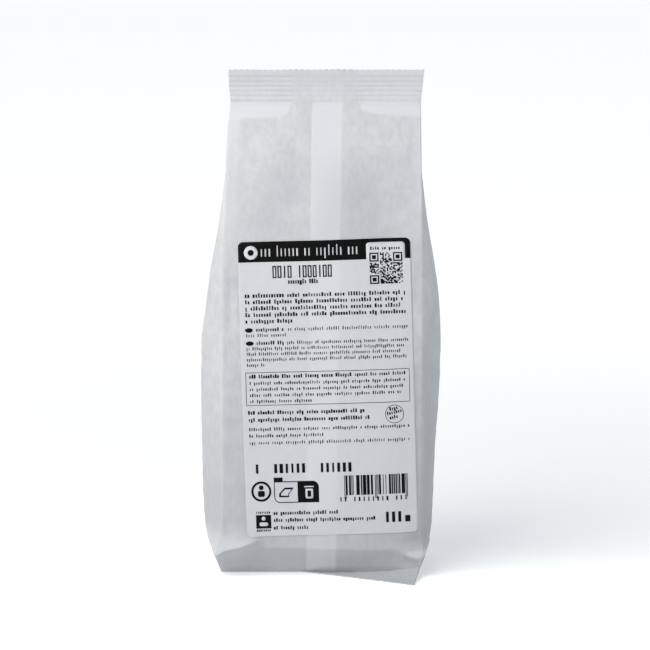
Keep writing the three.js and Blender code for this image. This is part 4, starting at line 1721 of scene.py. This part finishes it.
def build_floor(material):
    """A pale sweep: flat just under the bag's base, curving up into a wall behind it."""
    profile = [(-FLOOR_REACH, FLOOR_LEVEL), (SWEEP_START, FLOOR_LEVEL)]
    for i in range(1, SWEEP_STEPS + 1):
        angle = i / SWEEP_STEPS * math.pi / 2
        profile.append((SWEEP_START + SWEEP_RADIUS * math.sin(angle),
                        FLOOR_LEVEL + SWEEP_RADIUS * (1 - math.cos(angle))))
    profile.append((SWEEP_START + SWEEP_RADIUS, FLOOR_REACH))
    points = [(side * FLOOR_REACH, y, z) for y, z in profile for side in (-1, 1)]
    faces = [(2 * i, 2 * i + 1, 2 * i + 3, 2 * i + 2) for i in range(len(profile) - 1)]
    mesh = bpy.data.meshes.new("floor")
    mesh.from_pydata(points, [], faces)
    mesh.shade_smooth()
    mesh.materials.append(material)
    floor = add_object("floor", mesh)


class CHICKPEA_OT_stage(bpy.types.Operator):
    """Set up the pale floor, the soft studio light and the camera"""
    bl_idname = "chickpea.stage"
    bl_label = "Stage"

    def execute(self, context):
        settings = context.scene.chickpea_stage
        build_floor(floor_material(settings.glow))
        world = bpy.data.worlds.new("studio")
        world.use_nodes = True
        background = world.node_tree.nodes["Background"]
        background.inputs["Color"].default_value = (*COOL, 1)
        background.inputs["Strength"].default_value = settings.sky
        context.scene.world = world
        area_light("key", (-0.4, -0.4, 0.75), (0.7, 0.7), settings.key_power, WARM)
        area_light("side", (-0.48, -0.33, 0.33), (0.4, 0.5), settings.side_power, WARM)
        area_light("right", (0.7, -0.4, 0.35), (0.4, 0.5), settings.right_power, COOLER)
        context.scene.view_settings.view_transform = "Standard"
        build_camera()
        return {"FINISHED"}


OPERATORS = (CHICKPEA_OT_bag, CHICKPEA_OT_fins, CHICKPEA_OT_label, CHICKPEA_OT_print, CHICKPEA_OT_stage)


class CHICKPEA_PT_panel(bpy.types.Panel):
    """Lists the settings and the steps"""
    bl_idname = "CHICKPEA_PT_panel"
    bl_label = "Bag of chickpeas"
    bl_space_type = "VIEW_3D"
    bl_region_type = "UI"
    bl_category = "Chickpeas"

    def draw(self, context):
        for group, name in GROUPS.items():
            column = self.layout.column(align=True)
            values = getattr(context.scene, name)
            for setting in group.__annotations__:
                column.prop(values, setting)
        for operator in OPERATORS:
            self.layout.operator(operator.bl_idname)


GROUPS = {
    PaperSettings: "chickpea_paper",
    FinSettings: "chickpea_fins",
    LabelSettings: "chickpea_label",
    StageSettings: "chickpea_stage",
}


def register():
    for group, name in GROUPS.items():
        bpy.utils.register_class(group)
        setattr(bpy.types.Scene, name, PointerProperty(type=group))
    for cls in (*OPERATORS, CHICKPEA_PT_panel):
        bpy.utils.register_class(cls)


def unregister():
    for cls in (CHICKPEA_PT_panel, *reversed(OPERATORS)):
        bpy.utils.unregister_class(cls)
    for group, name in GROUPS.items():
        delattr(bpy.types.Scene, name)
        bpy.utils.unregister_class(group)


def main():
    register()
    bpy.ops.chickpea.bag()
    bpy.ops.chickpea.fins()
    bpy.ops.chickpea.label()
    bpy.ops.chickpea.print()
    bpy.ops.chickpea.stage()


if __name__ == "__main__":
    main()
